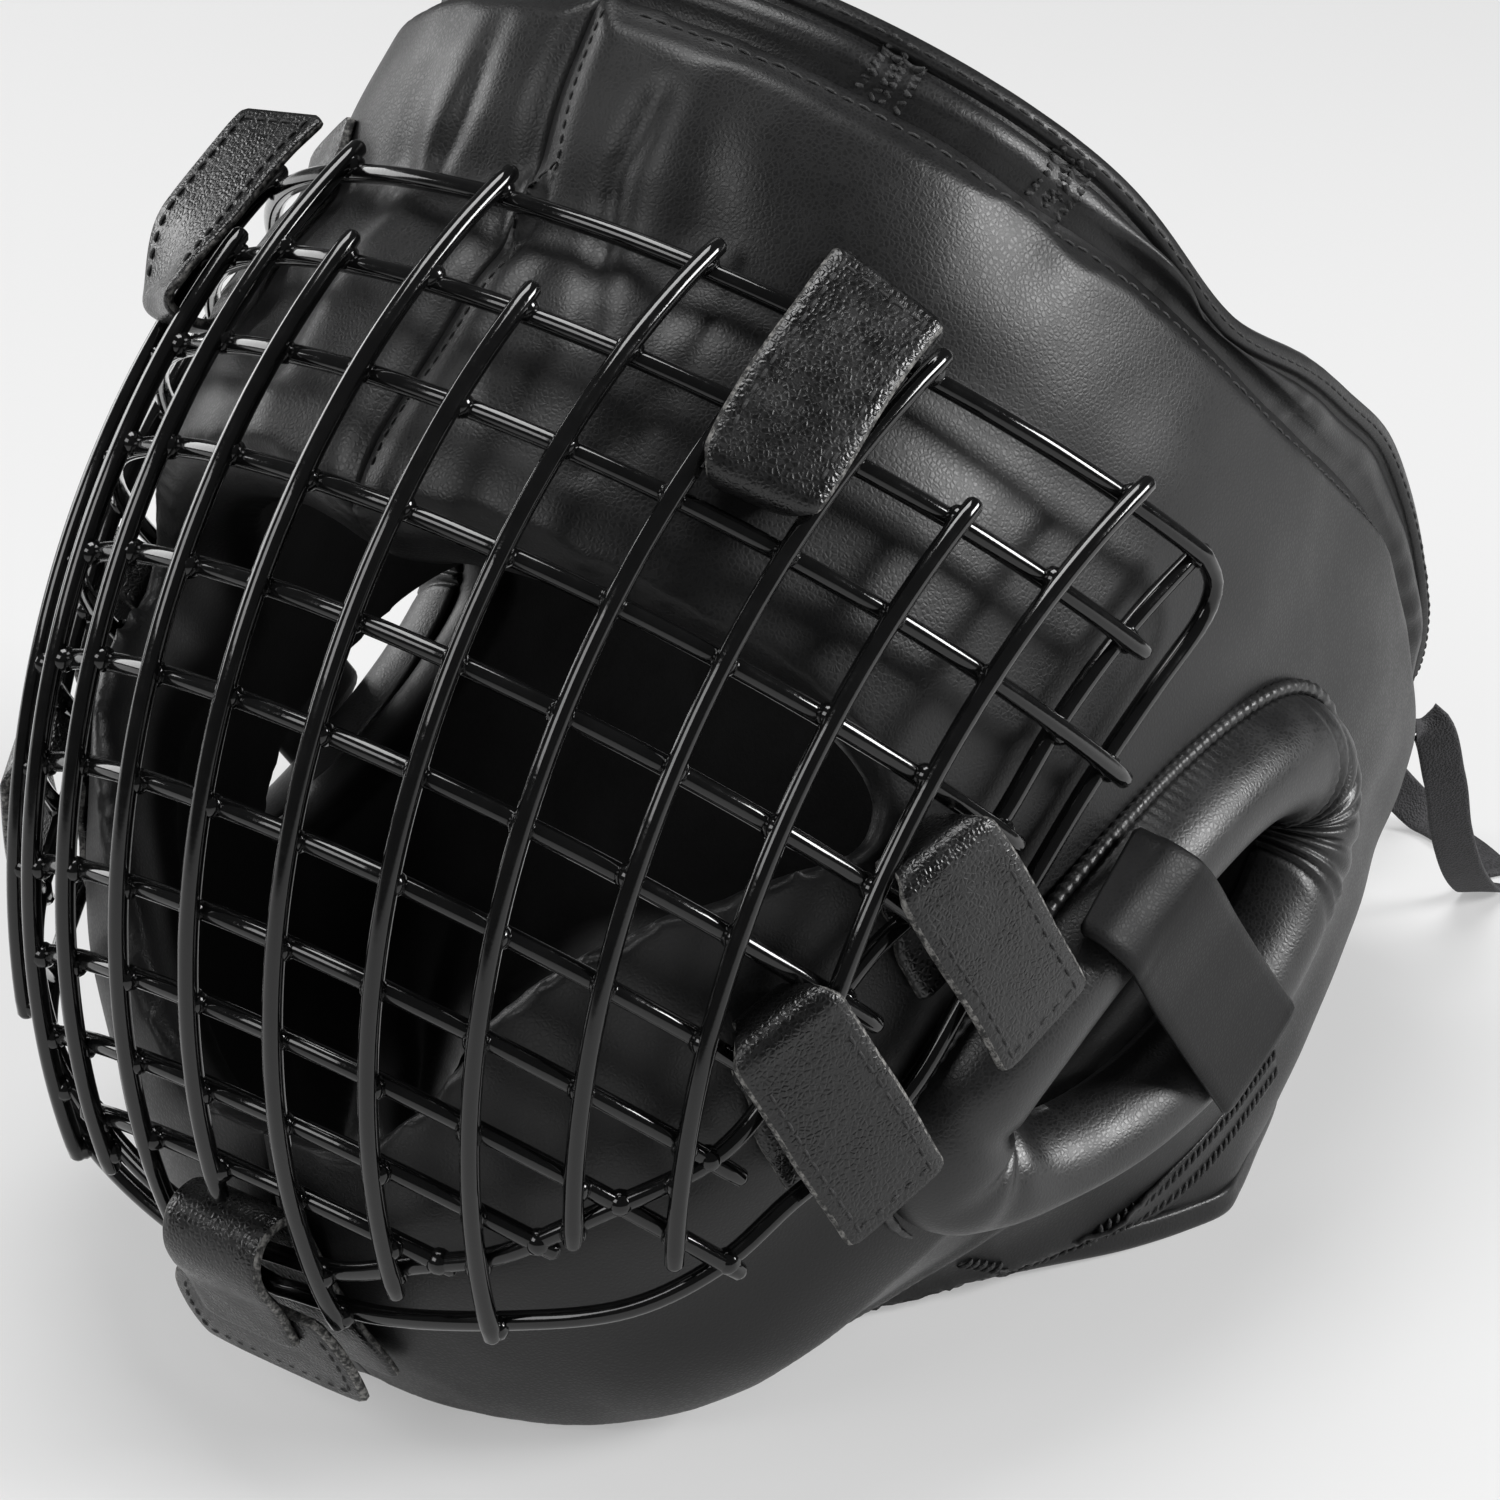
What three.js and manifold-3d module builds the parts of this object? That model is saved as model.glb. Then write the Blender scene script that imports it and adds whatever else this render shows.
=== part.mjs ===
// Padded full-face sparring headgear with a welded wire face cage.
// Millimetres. Built upright as worn (face to -Y, wearer's left to +X), then laid back as it rests.
import * as THREE from "three";
import { mergeVertices } from "three/addons/utils/BufferGeometryUtils.js";
import Module from "manifold-3d";

const wasm = await Module();
wasm.setup();
const { Manifold, Mesh } = wasm;
const DEG = Math.PI / 180;

// Driving sizes
const REST_PITCH = 44.8; // lean back of the worn upright, degrees
const FLOOR_DROP = 167.5; // floor below the cage's middle, measured after the lean
const SEAM_GAP = 0.3; // between sewn pieces
const PAD = 19; // padding of sides and back
const PAD_BROW = 24; // padding of the forehead
const SHELL_MID = 150; // depth of the widest section
const FRONT_POWER = 2.15;
const BACK_POWER = 3;
const BAND_HEIGHT = 14; // leather band above the padding
const BAND_INSIDE = -9.8; // band's inner face, from the shell's plain section
const WIRE = 4.0; // coated wire, diameter
const WIRE_SIDES = 5;
const LAYER = 3.25; // step between crossing wire layers
const CAGE_RADIUS = 150; // side-view arc of the cage
const CAGE_DEPTH = 141;
const CAGE_RISE = 51;
const CAGE_WIDTH = 113; // half width at the middle row
const CAGE_FLARE = 0.1; // half width gained per mm of height
const CAGE_NOSE = 138; // depth of the cage's plan ellipse
const COLUMN = 10.5; // degrees of plan angle per upright
const STRAP = 25;
const STRAP_THICK = 2;
const EAR = { y: 162, z: 43, tilt: 26, long: 60, short: 27, roll: 12.3, proud: 2.5 };
const EAR_HOLE = { long: 47, short: 16 };
const SLOT = 13; // back slot, width
const LACE = 10; // flat lace, width
const LACE_THICK = 1.4;
const CROWN = 38; // crown strap, width
const CROWN_ARCH = 12; // its rise over the rim
const STRIP_FALL = 0.125; // slope of the ear strip
const EAR_SLIM = 5; // how much thinner the ear roll is low at the back

const CHIN_PAD = { front: 52, rear: 11, back: 98, clear: 1.5 };
const TUCK = 26; // side walls drawn in below the ears
const TUCK_INSIDE = 0.7; // share of it that the lining follows
const BROW_PRESS = 4.7; // dent under the cage's top wire
const CHEEK_PRESS = 4.6; // dent under the cage's side frame
const COLUMN_PITCH = 21.5; // mean distance between uprights
const lean = -REST_PITCH * DEG;

// Outer sections of the shell: height, half width, front, back
const SECTIONS = [
  [182, 96, 12, 308],
  [160, 100, 4, 314],
  [140, 104, 4, 316],
  [115, 109, 8, 317],
  [70, 112, 6, 317],
  [41, 112, 9, 316],
  [18, 110, 15, 312],
  [0, 106, 21, 306],
  [-28, 97, 37, 294],
  [-46, 88, 51, 282],
  [-65, 73, 71, 268],
  [-80, 56, 92, 250],
  [-91, 35, 116, 225],
  [-96, 12, 145, 195],
];
// Top rim seen from the side: depth, height
const RIM = [
  [-40, 170],
  [0, 171],
  [40, 172],
  [90, 172],
  [130, 172],
  [165, 174.5],
  [192, 177],
  [215, 173],
  [250, 163],
  [300, 152],
  [380, 148],
];
// Neck edge seen from the side: depth, height
const NECK = [
  [150, -110],
  [150, -88],
  [160, -74],
  [176, -57],
  [200, -32.5],
  [232, -0.5],
  [256, 19],
  [290, 52],
  [340, 102],
];
// Face opening seen from the front: half width, height
const FACE = [
  [0, 40],
  [18, 45],
  [60, 47],
  [83, 45],
  [92, 36],
  [88, 24],
  [78, 10],
  [64, -7],
  [50, -23],
  [39, -40],
  [30, -53],
  [16, -60.5],
  [0, -62.5],
];
// Outer frame of the cage: column, height, wire layer
const FRAME = [
  [7.0, 111, 1],
  [7.35, 108.5, 1.5],
  [7.6, 102, 2],
  [7.68, 84, 2],
  [7.7, 63, 2],
  [7.65, 40, 1.8],
  [7.5, 16, 1.6],
  [7.3, -4, 1.6],
  [6.9, -20, 1.7],
  [6.27, -36, 1.7],
  [5.57, -52, 1.2],
  [4.6, -67, 1],
  [3.2, -79.5, 1],
  [1.5, -89, 1],
  [0, -92, 1],
];
// Inner frame of the cage: column, height, wire layer
const INNER_FRAME = [
  [7.0, 111, 1.8],
  [7.0, 88, 2],
  [7.0, 66, 2],
  [7.0, 43, 2],
  [6.75, 27, 2],
  [6.4, 12, 2],
  [6.2, 0, 2],
  [5.95, -14, 1.8],
  [5.67, -27, 1.4],
  [5.28, -37.5, 1],
  [4.2, -56, 1],
  [3.2, -70, 1],
  [2.25, -78, 1],
  [1.2, -85, 1],
  [0, -87.5, 1],
];
// Cross wires below the top one: height, column where the wire ends
const ROWS = [
  [88, 7.15],
  [66, 7.85],
  [43, 7.15],
  [21, 7.6],
  [0, 6.55],
  [-19, 6.95],
  [-37, 5.6],
  [-52, 5.7],
  [-65, 3.75],
  [-76, 2.6],
];
// Uprights: column, height of the upper end, height of the lower end
const UPRIGHTS = [
  [0, 114, -79],
  [1, 91, -90.5],
  [2, 114, -81.5],
  [3, 91, -81],
  [4, 114, -60],
  [5, 91, -55],
  [6, 114, -3],
];

// Smooth curve through the rows of a table, by its first column
function lookUp(table, at, column) {
  const rows = table[0][0] > table[table.length - 1][0] ? [...table].reverse() : table;
  const last = rows.length - 1;
  let i = 0;
  while (i < last - 1 && rows[i + 1][0] < at) i += 1;
  const a = rows[Math.max(i - 1, 0)];
  const b = rows[i];
  const c = rows[i + 1];
  const d = rows[Math.min(i + 2, last)];
  const span = c[0] - b[0];
  const t = Math.min(1, Math.max(0, (at - b[0]) / span));
  const mb = a === b ? (c[column] - b[column]) / span : (c[column] - a[column]) / (c[0] - a[0]);
  const mc = c === d ? (c[column] - b[column]) / span : (d[column] - b[column]) / (d[0] - b[0]);
  const t2 = t * t;
  const t3 = t2 * t;
  return (
    (2 * t3 - 3 * t2 + 1) * b[column] +
    (t3 - 2 * t2 + t) * span * mb +
    (3 * t2 - 2 * t3) * c[column] +
    (t3 - t2) * span * mc
  );
}

// Points evenly spread along a smooth curve through the rows of a table
function spread(table, count, scale = 1) {
  const keys = table.map((row) => new THREE.Vector3(row[0] * scale, row[1], row[2] || 0));
  const points = new THREE.CatmullRomCurve3(keys, false, "centripetal").getSpacedPoints(count);
  points.forEach((p) => (p.x /= scale));
  return points;
}

const bell = (x, width) => Math.exp(-(x / width) * (x / width));
const rimHeight = (y) => lookUp(RIM, y, 1);
const padTop = (y) => rimHeight(y) - BAND_HEIGHT;

// Height above the floor at rest
const restUp = new THREE.Vector3(0, Math.sin(lean), Math.cos(lean));
const restHeight = (p) => FLOOR_DROP + p.dot(restUp);

// Padding pressed in under the cage
function press(p) {
  const brow = BROW_PRESS * bell(p.z - 110, 11) * bell(p.x, 88);
  return brow + CHEEK_PRESS * bell(p.y - 96, 25) * bell(p.z - 20, 38);
}

// Side walls drawn in towards the floor, below the ears
function tuck(p) {
  const low = Math.min(1, Math.max(0, 1 - restHeight(p) / 48));
  return TUCK * bell(p.y - 199, 30) * Math.pow(low, 1.4) * Math.min(1, Math.abs(p.x) / 40);
}

// Soft dents and folds of the leather, along the surface normal
function folds(angle, z, p) {
  const side = Math.abs(p.x);
  const front = p.y < SHELL_MID ? 1 : 0;
  const upper = Math.min(1, Math.max(0, (z - 30) / 25));
  let d = -2.6 * bell(side, 5) * front * upper;
  d += 3.0 * bell(z - 56, 14) * bell(angle / DEG, 40) * front;
  d -= 1.8 * bell(side - 17 - 0.1 * (z - 110), 4.5) * bell(z - 122, 34) * front;
  d -= 1.4 * bell(side - 38 + 0.15 * (z - 110), 6) * bell(z - 105, 36) * front;
  d += 1.2 * bell(side - 28, 7) * bell(z - 112, 40) * front;
  d -= 2.2 * bell(p.y - 52, 9) * bell(z - padTop(p.y) + 5, 12);
  d -= 3.2 * bell(p.y - 118, 16) * bell(z + 42, 22);
  d += 2.4 * bell(p.y - 142, 18) * bell(z + 62, 20);
  d -= 2.0 * bell(p.y - 246, 12) * bell(z - 60, 60);
  d -= tuck(p);
  d += 0.7 * Math.sin(p.y / 5.2) * bell(z - padTop(p.y) + 3, 6) * (1 - front * bell(side, 40));
  return d - press(p);
}

// A point of the shell's plain outer section
function section(angle, z) {
  const half = lookUp(SECTIONS, z, 1);
  const near = SHELL_MID - lookUp(SECTIONS, z, 2);
  const far = lookUp(SECTIONS, z, 3) - SHELL_MID;
  const c = Math.cos(angle);
  const s = Math.sin(angle);
  const power = 2 / (c > 0 ? FRONT_POWER : BACK_POWER);
  const x = Math.sign(s) * half * Math.pow(Math.abs(s), power);
  const y = SHELL_MID - Math.sign(c) * (c > 0 ? near : far) * Math.pow(Math.abs(c), power);
  return new THREE.Vector3(x, y, z);
}

function sectionNormal(angle, z) {
  const around = section(angle + 0.01, z).sub(section(angle - 0.01, z));
  const up = section(angle, z + 0.5).sub(section(angle, z - 0.5));
  return around.cross(up).normalize();
}

// Outer leather, with its folds and the rolled-in upper edge
function leather(angle, z, grow) {
  const p = section(angle, z);
  const n = sectionNormal(angle, z);
  const above = Math.max(0, z - padTop(p.y) + 13) / 13;
  const roll = 5.5 * Math.min(1, above) * Math.min(1, above);
  return p.addScaledVector(n, folds(angle, z, section(angle, z)) - roll + grow);
}

// Lining side of the padding
function lining(angle, z, shrink) {
  const p = section(angle, z);
  const n = sectionNormal(angle, z);
  const brow = Math.max(0, Math.cos(angle)) * Math.min(1, Math.max(0, (z - 20) / 30));
  const chin = Math.min(1, Math.max(0, (-z - 30) / 40));
  const inward = PAD + (PAD_BROW - PAD) * brow - 5 * chin + TUCK_INSIDE * tuck(p) + shrink;
  return p.addScaledVector(n, -inward);
}

function solidFrom(points, faces) {
  const geometry = new THREE.BufferGeometry();
  const flat = points.flatMap((p) => [p.x, p.y, p.z]);
  geometry.setAttribute("position", new THREE.Float32BufferAttribute(flat, 3));
  geometry.setIndex(faces.flat());
  const merged = mergeVertices(geometry, 1e-4);
  const make = (index) =>
    new Manifold(
      new Mesh({
        numProp: 3,
        vertProperties: new Float32Array(merged.attributes.position.array),
        triVerts: new Uint32Array(index),
      }),
    );
  const index = Array.from(merged.index.array);
  const solid = make(index);
  return solid.volume() > 0 ? solid : make(index.reverse());
}

// Closed skin over a row of rings, with flat or pointed ends, or joined end to end
function skin(rings, closed = false) {
  const count = rings[0].length;
  const points = rings.flat();
  const faces = [];
  const steps = closed ? rings.length : rings.length - 1;
  for (let i = 0; i < steps; i += 1) {
    const a = i * count;
    const b = ((i + 1) % rings.length) * count;
    for (let j = 0; j < count; j += 1) {
      const k = (j + 1) % count;
      faces.push([a + j, a + k, b + k], [a + j, b + k, b + j]);
    }
  }
  if (!closed) {
    for (const end of [0, rings.length - 1]) {
      const middle = new THREE.Vector3();
      rings[end].forEach((p) => middle.addScaledVector(p, 1 / count));
      points.push(middle);
      const base = end * count;
      for (let j = 0; j < count; j += 1) {
        const k = (j + 1) % count;
        const face = [base + j, base + k, points.length - 1];
        faces.push(end === 0 ? face.reverse() : face);
      }
    }
  }
  return solidFrom(points, faces);
}

// Straight prism from an outline; place(u, v, w) puts a corner at depth w
function prism(outline, near, far, place) {
  const ring = (w) => outline.map(([u, v]) => place(u, v, w));
  return skin([ring(near), ring(far)]);
}

const v3 = (x, y, z) => new THREE.Vector3(x, y, z);
const acrossX = (y, z, x) => v3(x, y, z);
const acrossY = (x, z, y) => v3(x, y, z);
const turned = (solid) => solid.mirror([1, 0, 0]);
// Slivers left along the cuts are merged
const cleaned = (solid, size) => solid.asOriginal().simplify(size);

// From the resting pose back to the worn upright
const restToWorn = (p) => {
  const y = p.y * Math.cos(lean) + (p.z - FLOOR_DROP) * Math.sin(lean);
  const z = -p.y * Math.sin(lean) + (p.z - FLOOR_DROP) * Math.cos(lean);
  return v3(p.x, y, z);
};

// Shell halves
const lowLevels = [-96, -91, -84, -74, -63, -50, -34, -16, 2, 22, 42];
const levels = [...lowLevels, 58, 76, 94, 108, 119, 131, 142, 151, 160, 172, 186];
const AROUND = 38;
const ringOf = (surface, z, count) =>
  Array.from({ length: count }, (_, i) => surface(((i + 0.5) / count) * 2 * Math.PI, z));
const outerSolid = (grow) => skin(levels.map((z) => ringOf((a, h) => leather(a, h, grow), z, AROUND)));
const body = outerSolid(0);
const bodyClear = outerSolid(SEAM_GAP);
const innerLevels = levels.filter((z, i) => i % 2 === 1 || z < 30);
const innerSolid = (shrink) => {
  const rings = innerLevels.map((z) => ringOf((a, h) => lining(a, h, shrink), z, 36));
  rings.push(rings[rings.length - 1].map((p) => v3(p.x, p.y, p.z + 30)));
  return skin(rings);
};
const hollow = innerSolid(0);

const above = (gap) => {
  const outline = [];
  for (let y = -60; y <= 400; y += 20) outline.push([y, padTop(y) + gap]);
  outline.push([400, 320], [-60, 320]);
  return prism(outline, -200, 200, acrossX);
};
const topCut = above(0);
const neckOutline = spread(NECK, 16).map((p) => [p.x, p.y]);
neckOutline.push([420, 102], [420, -190], [150, -190]);
const neckCut = prism(neckOutline, -200, 200, acrossX);
const faceHalf = spread(FACE, 18).map((p) => [p.x, p.y]);
const faceOutline = [...faceHalf, ...faceHalf.slice(1, -1).reverse().map(([x, z]) => [-x, z])];
const faceCut = prism(faceOutline, -90, 132, acrossY);
const earPoint = (turn, long, short, x) => {
  const m = short * Math.cos(turn);
  const l = long * Math.sin(turn);
  const c = Math.cos(EAR.tilt * DEG);
  const s = Math.sin(EAR.tilt * DEG);
  return v3(x, EAR.y + m * c + l * s, EAR.z - m * s + l * c);
};
const earOutline = (x) =>
  Array.from({ length: 20 }, (_, i) => earPoint((i / 20) * 2 * Math.PI, EAR_HOLE.long, EAR_HOLE.short, x));
const earCut = skin([earOutline(50), earOutline(150)]);
const slotCut = prism(
  [
    [-SLOT / 2, -100],
    [SLOT / 2, -100],
    [SLOT / 2, 300],
    [-SLOT / 2, 300],
  ],
  240,
  400,
  acrossY,
);
const floorBlock = (top) => {
  const corners = [];
  for (const z of [top, top - 120])
    corners.push([v3(-300, -300, z), v3(300, -300, z), v3(300, 600, z), v3(-300, 600, z)].map(restToWorn));
  return skin(corners);
};
const leftSide = prism(
  [
    [-200, -300],
    [500, -300],
    [500, 400],
    [-200, 400],
  ],
  SEAM_GAP / 2,
  300,
  acrossX,
);
const shellCut = body
  .subtract(hollow)
  .subtract(topCut)
  .subtract(neckCut)
  .subtract(faceCut)
  .subtract(earCut)
  .subtract(slotCut)
  .subtract(floorBlock(0))
  .intersect(leftSide);
const shellLeft = cleaned(shellCut, 0.15);

// Chin pad lying in the jaw, its lining gathered in ripples
const padOutline = [
  [CHIN_PAD.back, CHIN_PAD.clear],
  [-20, CHIN_PAD.clear],
];
for (let i = 0; i <= 22; i += 1) {
  const t = i / 22;
  const y = -20 + (CHIN_PAD.back + 20) * t;
  const ripple = 1.3 * Math.sin(y / 2.6) * bell(t - 0.35, 0.3);
  padOutline.push([y, CHIN_PAD.rear + (CHIN_PAD.front - CHIN_PAD.rear) * Math.pow(1 - t, 2) + ripple]);
}
const chinSlab = prism(padOutline, -90, 90, (y, z, x) => restToWorn(v3(x, y, z)));
const chinRoom = innerSolid(SEAM_GAP + 0.8).subtract(body.subtract(hollow));
const chinPad = cleaned(chinRoom.intersect(chinSlab), 0.05);

// Leather band and binding along the top rim
const bandSection = (angle) => {
  const at = section(angle, 150);
  const base = padTop(at.y) - 2;
  const top = rimHeight(at.y);
  const n = sectionNormal(angle, 150).setZ(0).normalize();
  const put = (out, z) => section(angle, z).addScaledVector(n, out).setZ(z);
  const pucker = 0.5 * Math.sin(at.y / 4.1);
  return [
    put(-6.5 + pucker, base),
    put(-4.8 + pucker, (base + top) / 2),
    put(-4.2, top - 4.5),
    put(-4.4, top),
    put(BAND_INSIDE, top),
    put(BAND_INSIDE, top - 4.5),
    put(BAND_INSIDE, base),
  ];
};
const bandRings = [];
for (let i = 0; i <= 22; i += 1) bandRings.push(bandSection((0.4 + (176.6 * i) / 22) * DEG));
const bandCut = skin(bandRings).intersect(leftSide).intersect(above(SEAM_GAP)).subtract(slotCut);
const bandLeft = cleaned(bandCut, 0.1);

// Cage surface: column across, height or arc length down, offset outward
const arcOf = (z) => CAGE_RADIUS * Math.asin(Math.max(-1, Math.min(1, (z - CAGE_RISE) / CAGE_RADIUS)));
function cage(column, arc, out) {
  const place = (c, a) => {
    const z = CAGE_RISE + CAGE_RADIUS * Math.sin(a / CAGE_RADIUS);
    const nose = CAGE_DEPTH - CAGE_RADIUS * Math.cos(a / CAGE_RADIUS);
    const t = c * COLUMN * DEG;
    return v3((CAGE_WIDTH + CAGE_FLARE * z) * Math.sin(t), nose + CAGE_NOSE * (1 - Math.cos(t)), z);
  };
  const p = place(column, arc);
  const across = place(column + 0.02, arc).sub(place(column - 0.02, arc));
  const up = place(column, arc + 0.5).sub(place(column, arc - 0.5));
  return { p: p.addScaledVector(across.clone().cross(up).normalize(), out), across, up };
}
const onCage = (column, z, layer) => cage(column, arcOf(z), -layer * LAYER).p;

// A round wire along a row of points, one corner of its section facing out of the cage
function wire(path) {
  const last = path.length - 1;
  const rings = path.map((p, i) => {
    const along = path[Math.min(i + 1, last)].clone().sub(path[Math.max(i - 1, 0)]).normalize();
    const side = v3(p.x, p.y - CAGE_DEPTH, p.z - CAGE_RISE);
    side.addScaledVector(along, -side.dot(along)).setLength(WIRE / 2);
    const other = along.cross(side);
    return Array.from({ length: WIRE_SIDES }, (_, k) => {
      const t = (k / WIRE_SIDES) * 2 * Math.PI;
      return p.clone().addScaledVector(side, Math.cos(t)).addScaledVector(other, Math.sin(t));
    });
  });
  return skin(rings);
}
const wires = [];
const both = (half) => [...half.slice(1).reverse().map((p) => v3(-p.x, p.y, p.z)), ...half];
const topRow = [];
for (let c = 0; c < 7; c += 1) topRow.push(onCage(c, 111, 1));
const frameHalf = spread(FRAME, 22, COLUMN_PITCH).map((p) => onCage(p.x, p.y, p.z));
const frameLoop = [...topRow, ...frameHalf];
const frameOther = frameLoop.map((p) => v3(-p.x, p.y, p.z));
wires.push(wire([...frameLoop, ...frameOther.slice(0, -1).reverse().slice(0, 2)]));
wires.push(wire(frameOther));
const innerHalf = spread(INNER_FRAME, 17, COLUMN_PITCH).map((p) => onCage(p.x, p.y, p.z));
wires.push(wire(both(innerHalf.reverse())));
for (const [z, end] of ROWS) {
  const half = Array.from({ length: Math.ceil(end) + 1 }, (_, i) => onCage(Math.min(i, end), z, 1));
  wires.push(wire(both(half)));
}
for (const [column, top, bottom] of UPRIGHTS) {
  const from = arcOf(top);
  const to = arcOf(bottom);
  const steps = Math.round((from - to) / 27);
  const arcAt = (i) => from + ((to - from) * i) / steps;
  const path = Array.from({ length: steps + 1 }, (_, i) => cage(column, arcAt(i), 0).p);
  wires.push(wire(path));
  if (column > 0) wires.push(wire(path.map((p) => v3(-p.x, p.y, p.z))));
}
const grille = cleaned(Manifold.union(wires), 0.3);

// Depth of the shell's leather under a place on the cage
function leatherUnder(column, arc) {
  let low = -60;
  let high = 0;
  for (let i = 0; i < 30; i += 1) {
    const out = (low + high) / 2;
    const p = cage(column, arc, out + press(cage(column, arc, out).p)).p;
    const half = lookUp(SECTIONS, p.z, 1);
    const near = SHELL_MID - lookUp(SECTIONS, p.z, 2);
    const sum =
      Math.pow(Math.abs(p.x) / half, FRONT_POWER) +
      Math.pow(Math.abs(p.y - SHELL_MID) / near, FRONT_POWER);
    if (sum < 1) low = out;
    else high = out;
  }
  return high;
}

// A flat strip through stations of a centre, a width direction, a face direction and a width
function strip(stations, thick) {
  return skin(
    stations.map(({ p, wide, face, width }) => {
      const a = wide.clone().normalize().multiplyScalar(width / 2);
      const b = face.clone().normalize().multiplyScalar(thick / 2);
      return [
        p.clone().add(a).add(b),
        p.clone().sub(a).add(b),
        p.clone().sub(a).sub(b),
        p.clone().add(a).sub(b),
      ];
    }),
  );
}

// A strap from the shell, round a wire of the cage and back over itself
function cageStrap({ fold, end, flap, root, neck, inside, tail, thick }) {
  const pitch = COLUMN_PITCH;
  const across = (end[0] - fold[0]) * pitch;
  const down = arcOf(end[1]) - arcOf(fold[1]);
  const length = Math.hypot(across, down);
  const ca = across / length;
  const sa = down / length;
  const at = (a, b, out) =>
    cage(fold[0] + (a * ca - b * sa) / pitch, arcOf(fold[1]) + a * sa + b * ca, out).p;
  const ground = (a) => leatherUnder(fold[0] + (a * ca) / pitch, arcOf(fold[1]) + a * sa);
  const line = [];
  for (let i = 0; i <= 4; i += 1) {
    const a = root + ((7 - root) * i) / 4;
    const rest = ground(a) + thick / 2 + 0.9;
    line.push([a, i < 2 ? rest : Math.max(rest, inside), i < 3 ? STRAP : STRAP - 4]);
  }
  line.push([2.5, Math.max(inside, ground(2.5) + thick / 2 + 0.9), neck]);
  const mid = (inside + 4.3) / 2;
  const reach = (4.3 - inside) / 2;
  line.push([-0.6, mid - 0.75 * reach, neck]);
  line.push([-2.2, mid - 0.2 * reach, neck]);
  line.push([-1.8, mid + 0.42 * reach, neck]);
  line.push([0.2, mid + 0.86 * reach, STRAP - 3]);
  line.push([2.5, 4.3, STRAP]);
  line.push([flap * 0.4, 4.6 + tail * 0.3, STRAP]);
  line.push([flap * 0.8, 4.6 + tail * 0.8, STRAP]);
  line.push([flap, 4.6 + tail, STRAP - 2]);
  const stations = line.map(([a, out, width], i) => {
    const p = at(a, 0, out);
    const before = line[Math.max(i - 1, 0)];
    const after = line[Math.min(i + 1, line.length - 1)];
    const along = at(after[0], 0, after[1]).sub(at(before[0], 0, before[1]));
    const wide = at(a, 6, out).sub(at(a, -6, out));
    return { p, wide, face: along.cross(wide), width };
  });
  return strip(stations, thick);
}
const temple = {
  fold: [3.5, 75],
  end: [3.3, 121],
  flap: 46,
  root: 52,
  neck: 15,
  inside: -7.8,
  tail: 1,
  thick: STRAP_THICK,
};
const cheekUpper = {
  fold: [6.36, 31.6],
  end: [7.85, 17],
  flap: 36,
  root: 27,
  neck: 15,
  inside: -10.6,
  tail: 3,
  thick: STRAP_THICK,
};
const cheekLower = {
  fold: [5.6, -9.5],
  end: [6.95, -25.5],
  flap: 34,
  root: 32,
  neck: 12.5,
  inside: -10.6,
  tail: 3,
  thick: STRAP_THICK,
};
const strapTemple = cageStrap(temple);
const strapCheekUpper = cageStrap(cheekUpper);
const strapCheekLower = cageStrap(cheekLower);

// Chin strap: a whole loop round both lower wires, with a broad tab below
function chinStrap() {
  const line = [
    [-214, null, 40],
    [-206, null, 40],
    [-198, null, 34],
    [-188, -7.6, 25],
    [-176, -7.6, 25],
    [-167, -6.8, 25],
    [-163.4, -4, 25],
    [-162.6, -0.8, 25],
    [-164, 2.6, 25],
    [-168, 4.4, 25],
    [-178, 4.6, 25],
    [-186, 4.6, 26],
    [-191, 4.8, 38],
    [-197, 5, 44],
    [-203, 5.4, 44],
    [-206, 5.6, 40],
  ];
  const spot = (arc, out) => cage(0, arc, out === null ? leatherUnder(0, arc) + 2 : out).p;
  const stations = line.map(([arc, out, width], i) => {
    const before = line[Math.max(i - 1, 0)];
    const after = line[Math.min(i + 1, line.length - 1)];
    const along = spot(after[0], after[1]).sub(spot(before[0], before[1]));
    return { p: spot(arc, out), wide: v3(1, 0, 0), face: along.cross(v3(1, 0, 0)), width };
  });
  return strip(stations, STRAP_THICK);
}
const strapChin = chinStrap();

// Padded ear ring, seated on the leather
function sideX(y, z) {
  const half = lookUp(SECTIONS, z, 1);
  const span = y < SHELL_MID ? SHELL_MID - lookUp(SECTIONS, z, 2) : lookUp(SECTIONS, z, 3) - SHELL_MID;
  const power = y < SHELL_MID ? FRONT_POWER : BACK_POWER;
  return half * Math.pow(1 - Math.pow(Math.abs(y - SHELL_MID) / span, power), 1 / power);
}
function earRoll(grow) {
  const rings = [];
  for (let i = 0; i < 24; i += 1) {
    const turn = (i / 24) * 2 * Math.PI;
    const c = earPoint(turn, EAR.long, EAR.short, 0);
    const ahead = earPoint(turn + 0.02, EAR.long, EAR.short, 0).sub(c).normalize();
    const out = v3(0, ahead.z, -ahead.y);
    const ends = Math.pow(Math.abs(Math.sin(turn)), 6);
    const gather = 0.9 * ends * Math.cos(i * Math.PI);
    const wide = EAR.roll + 2.2 * ends + grow;
    const slim = EAR_SLIM * Math.exp(-Math.pow((((i / 24) * 360 - 325) / 38), 2)); // thinner low at the back
    const high = EAR.roll + EAR.proud * (1 - 0.4 * ends) + gather + grow;
    const base = sideX(c.y, c.z) - 1.5;
    rings.push(
      Array.from({ length: 8 }, (_, k) => {
        const t = ((k + 0.5) / 8) * 2 * Math.PI;
        const q = c.clone().addScaledVector(out, (wide - (Math.cos(t) > 0 ? slim : 0)) * Math.cos(t));
        q.x = base + high * Math.sin(t);
        return q;
      }),
    );
  }
  return skin(rings, true);
}
const earRing = cleaned(earRoll(0).subtract(bodyClear), 0.15);

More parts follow.
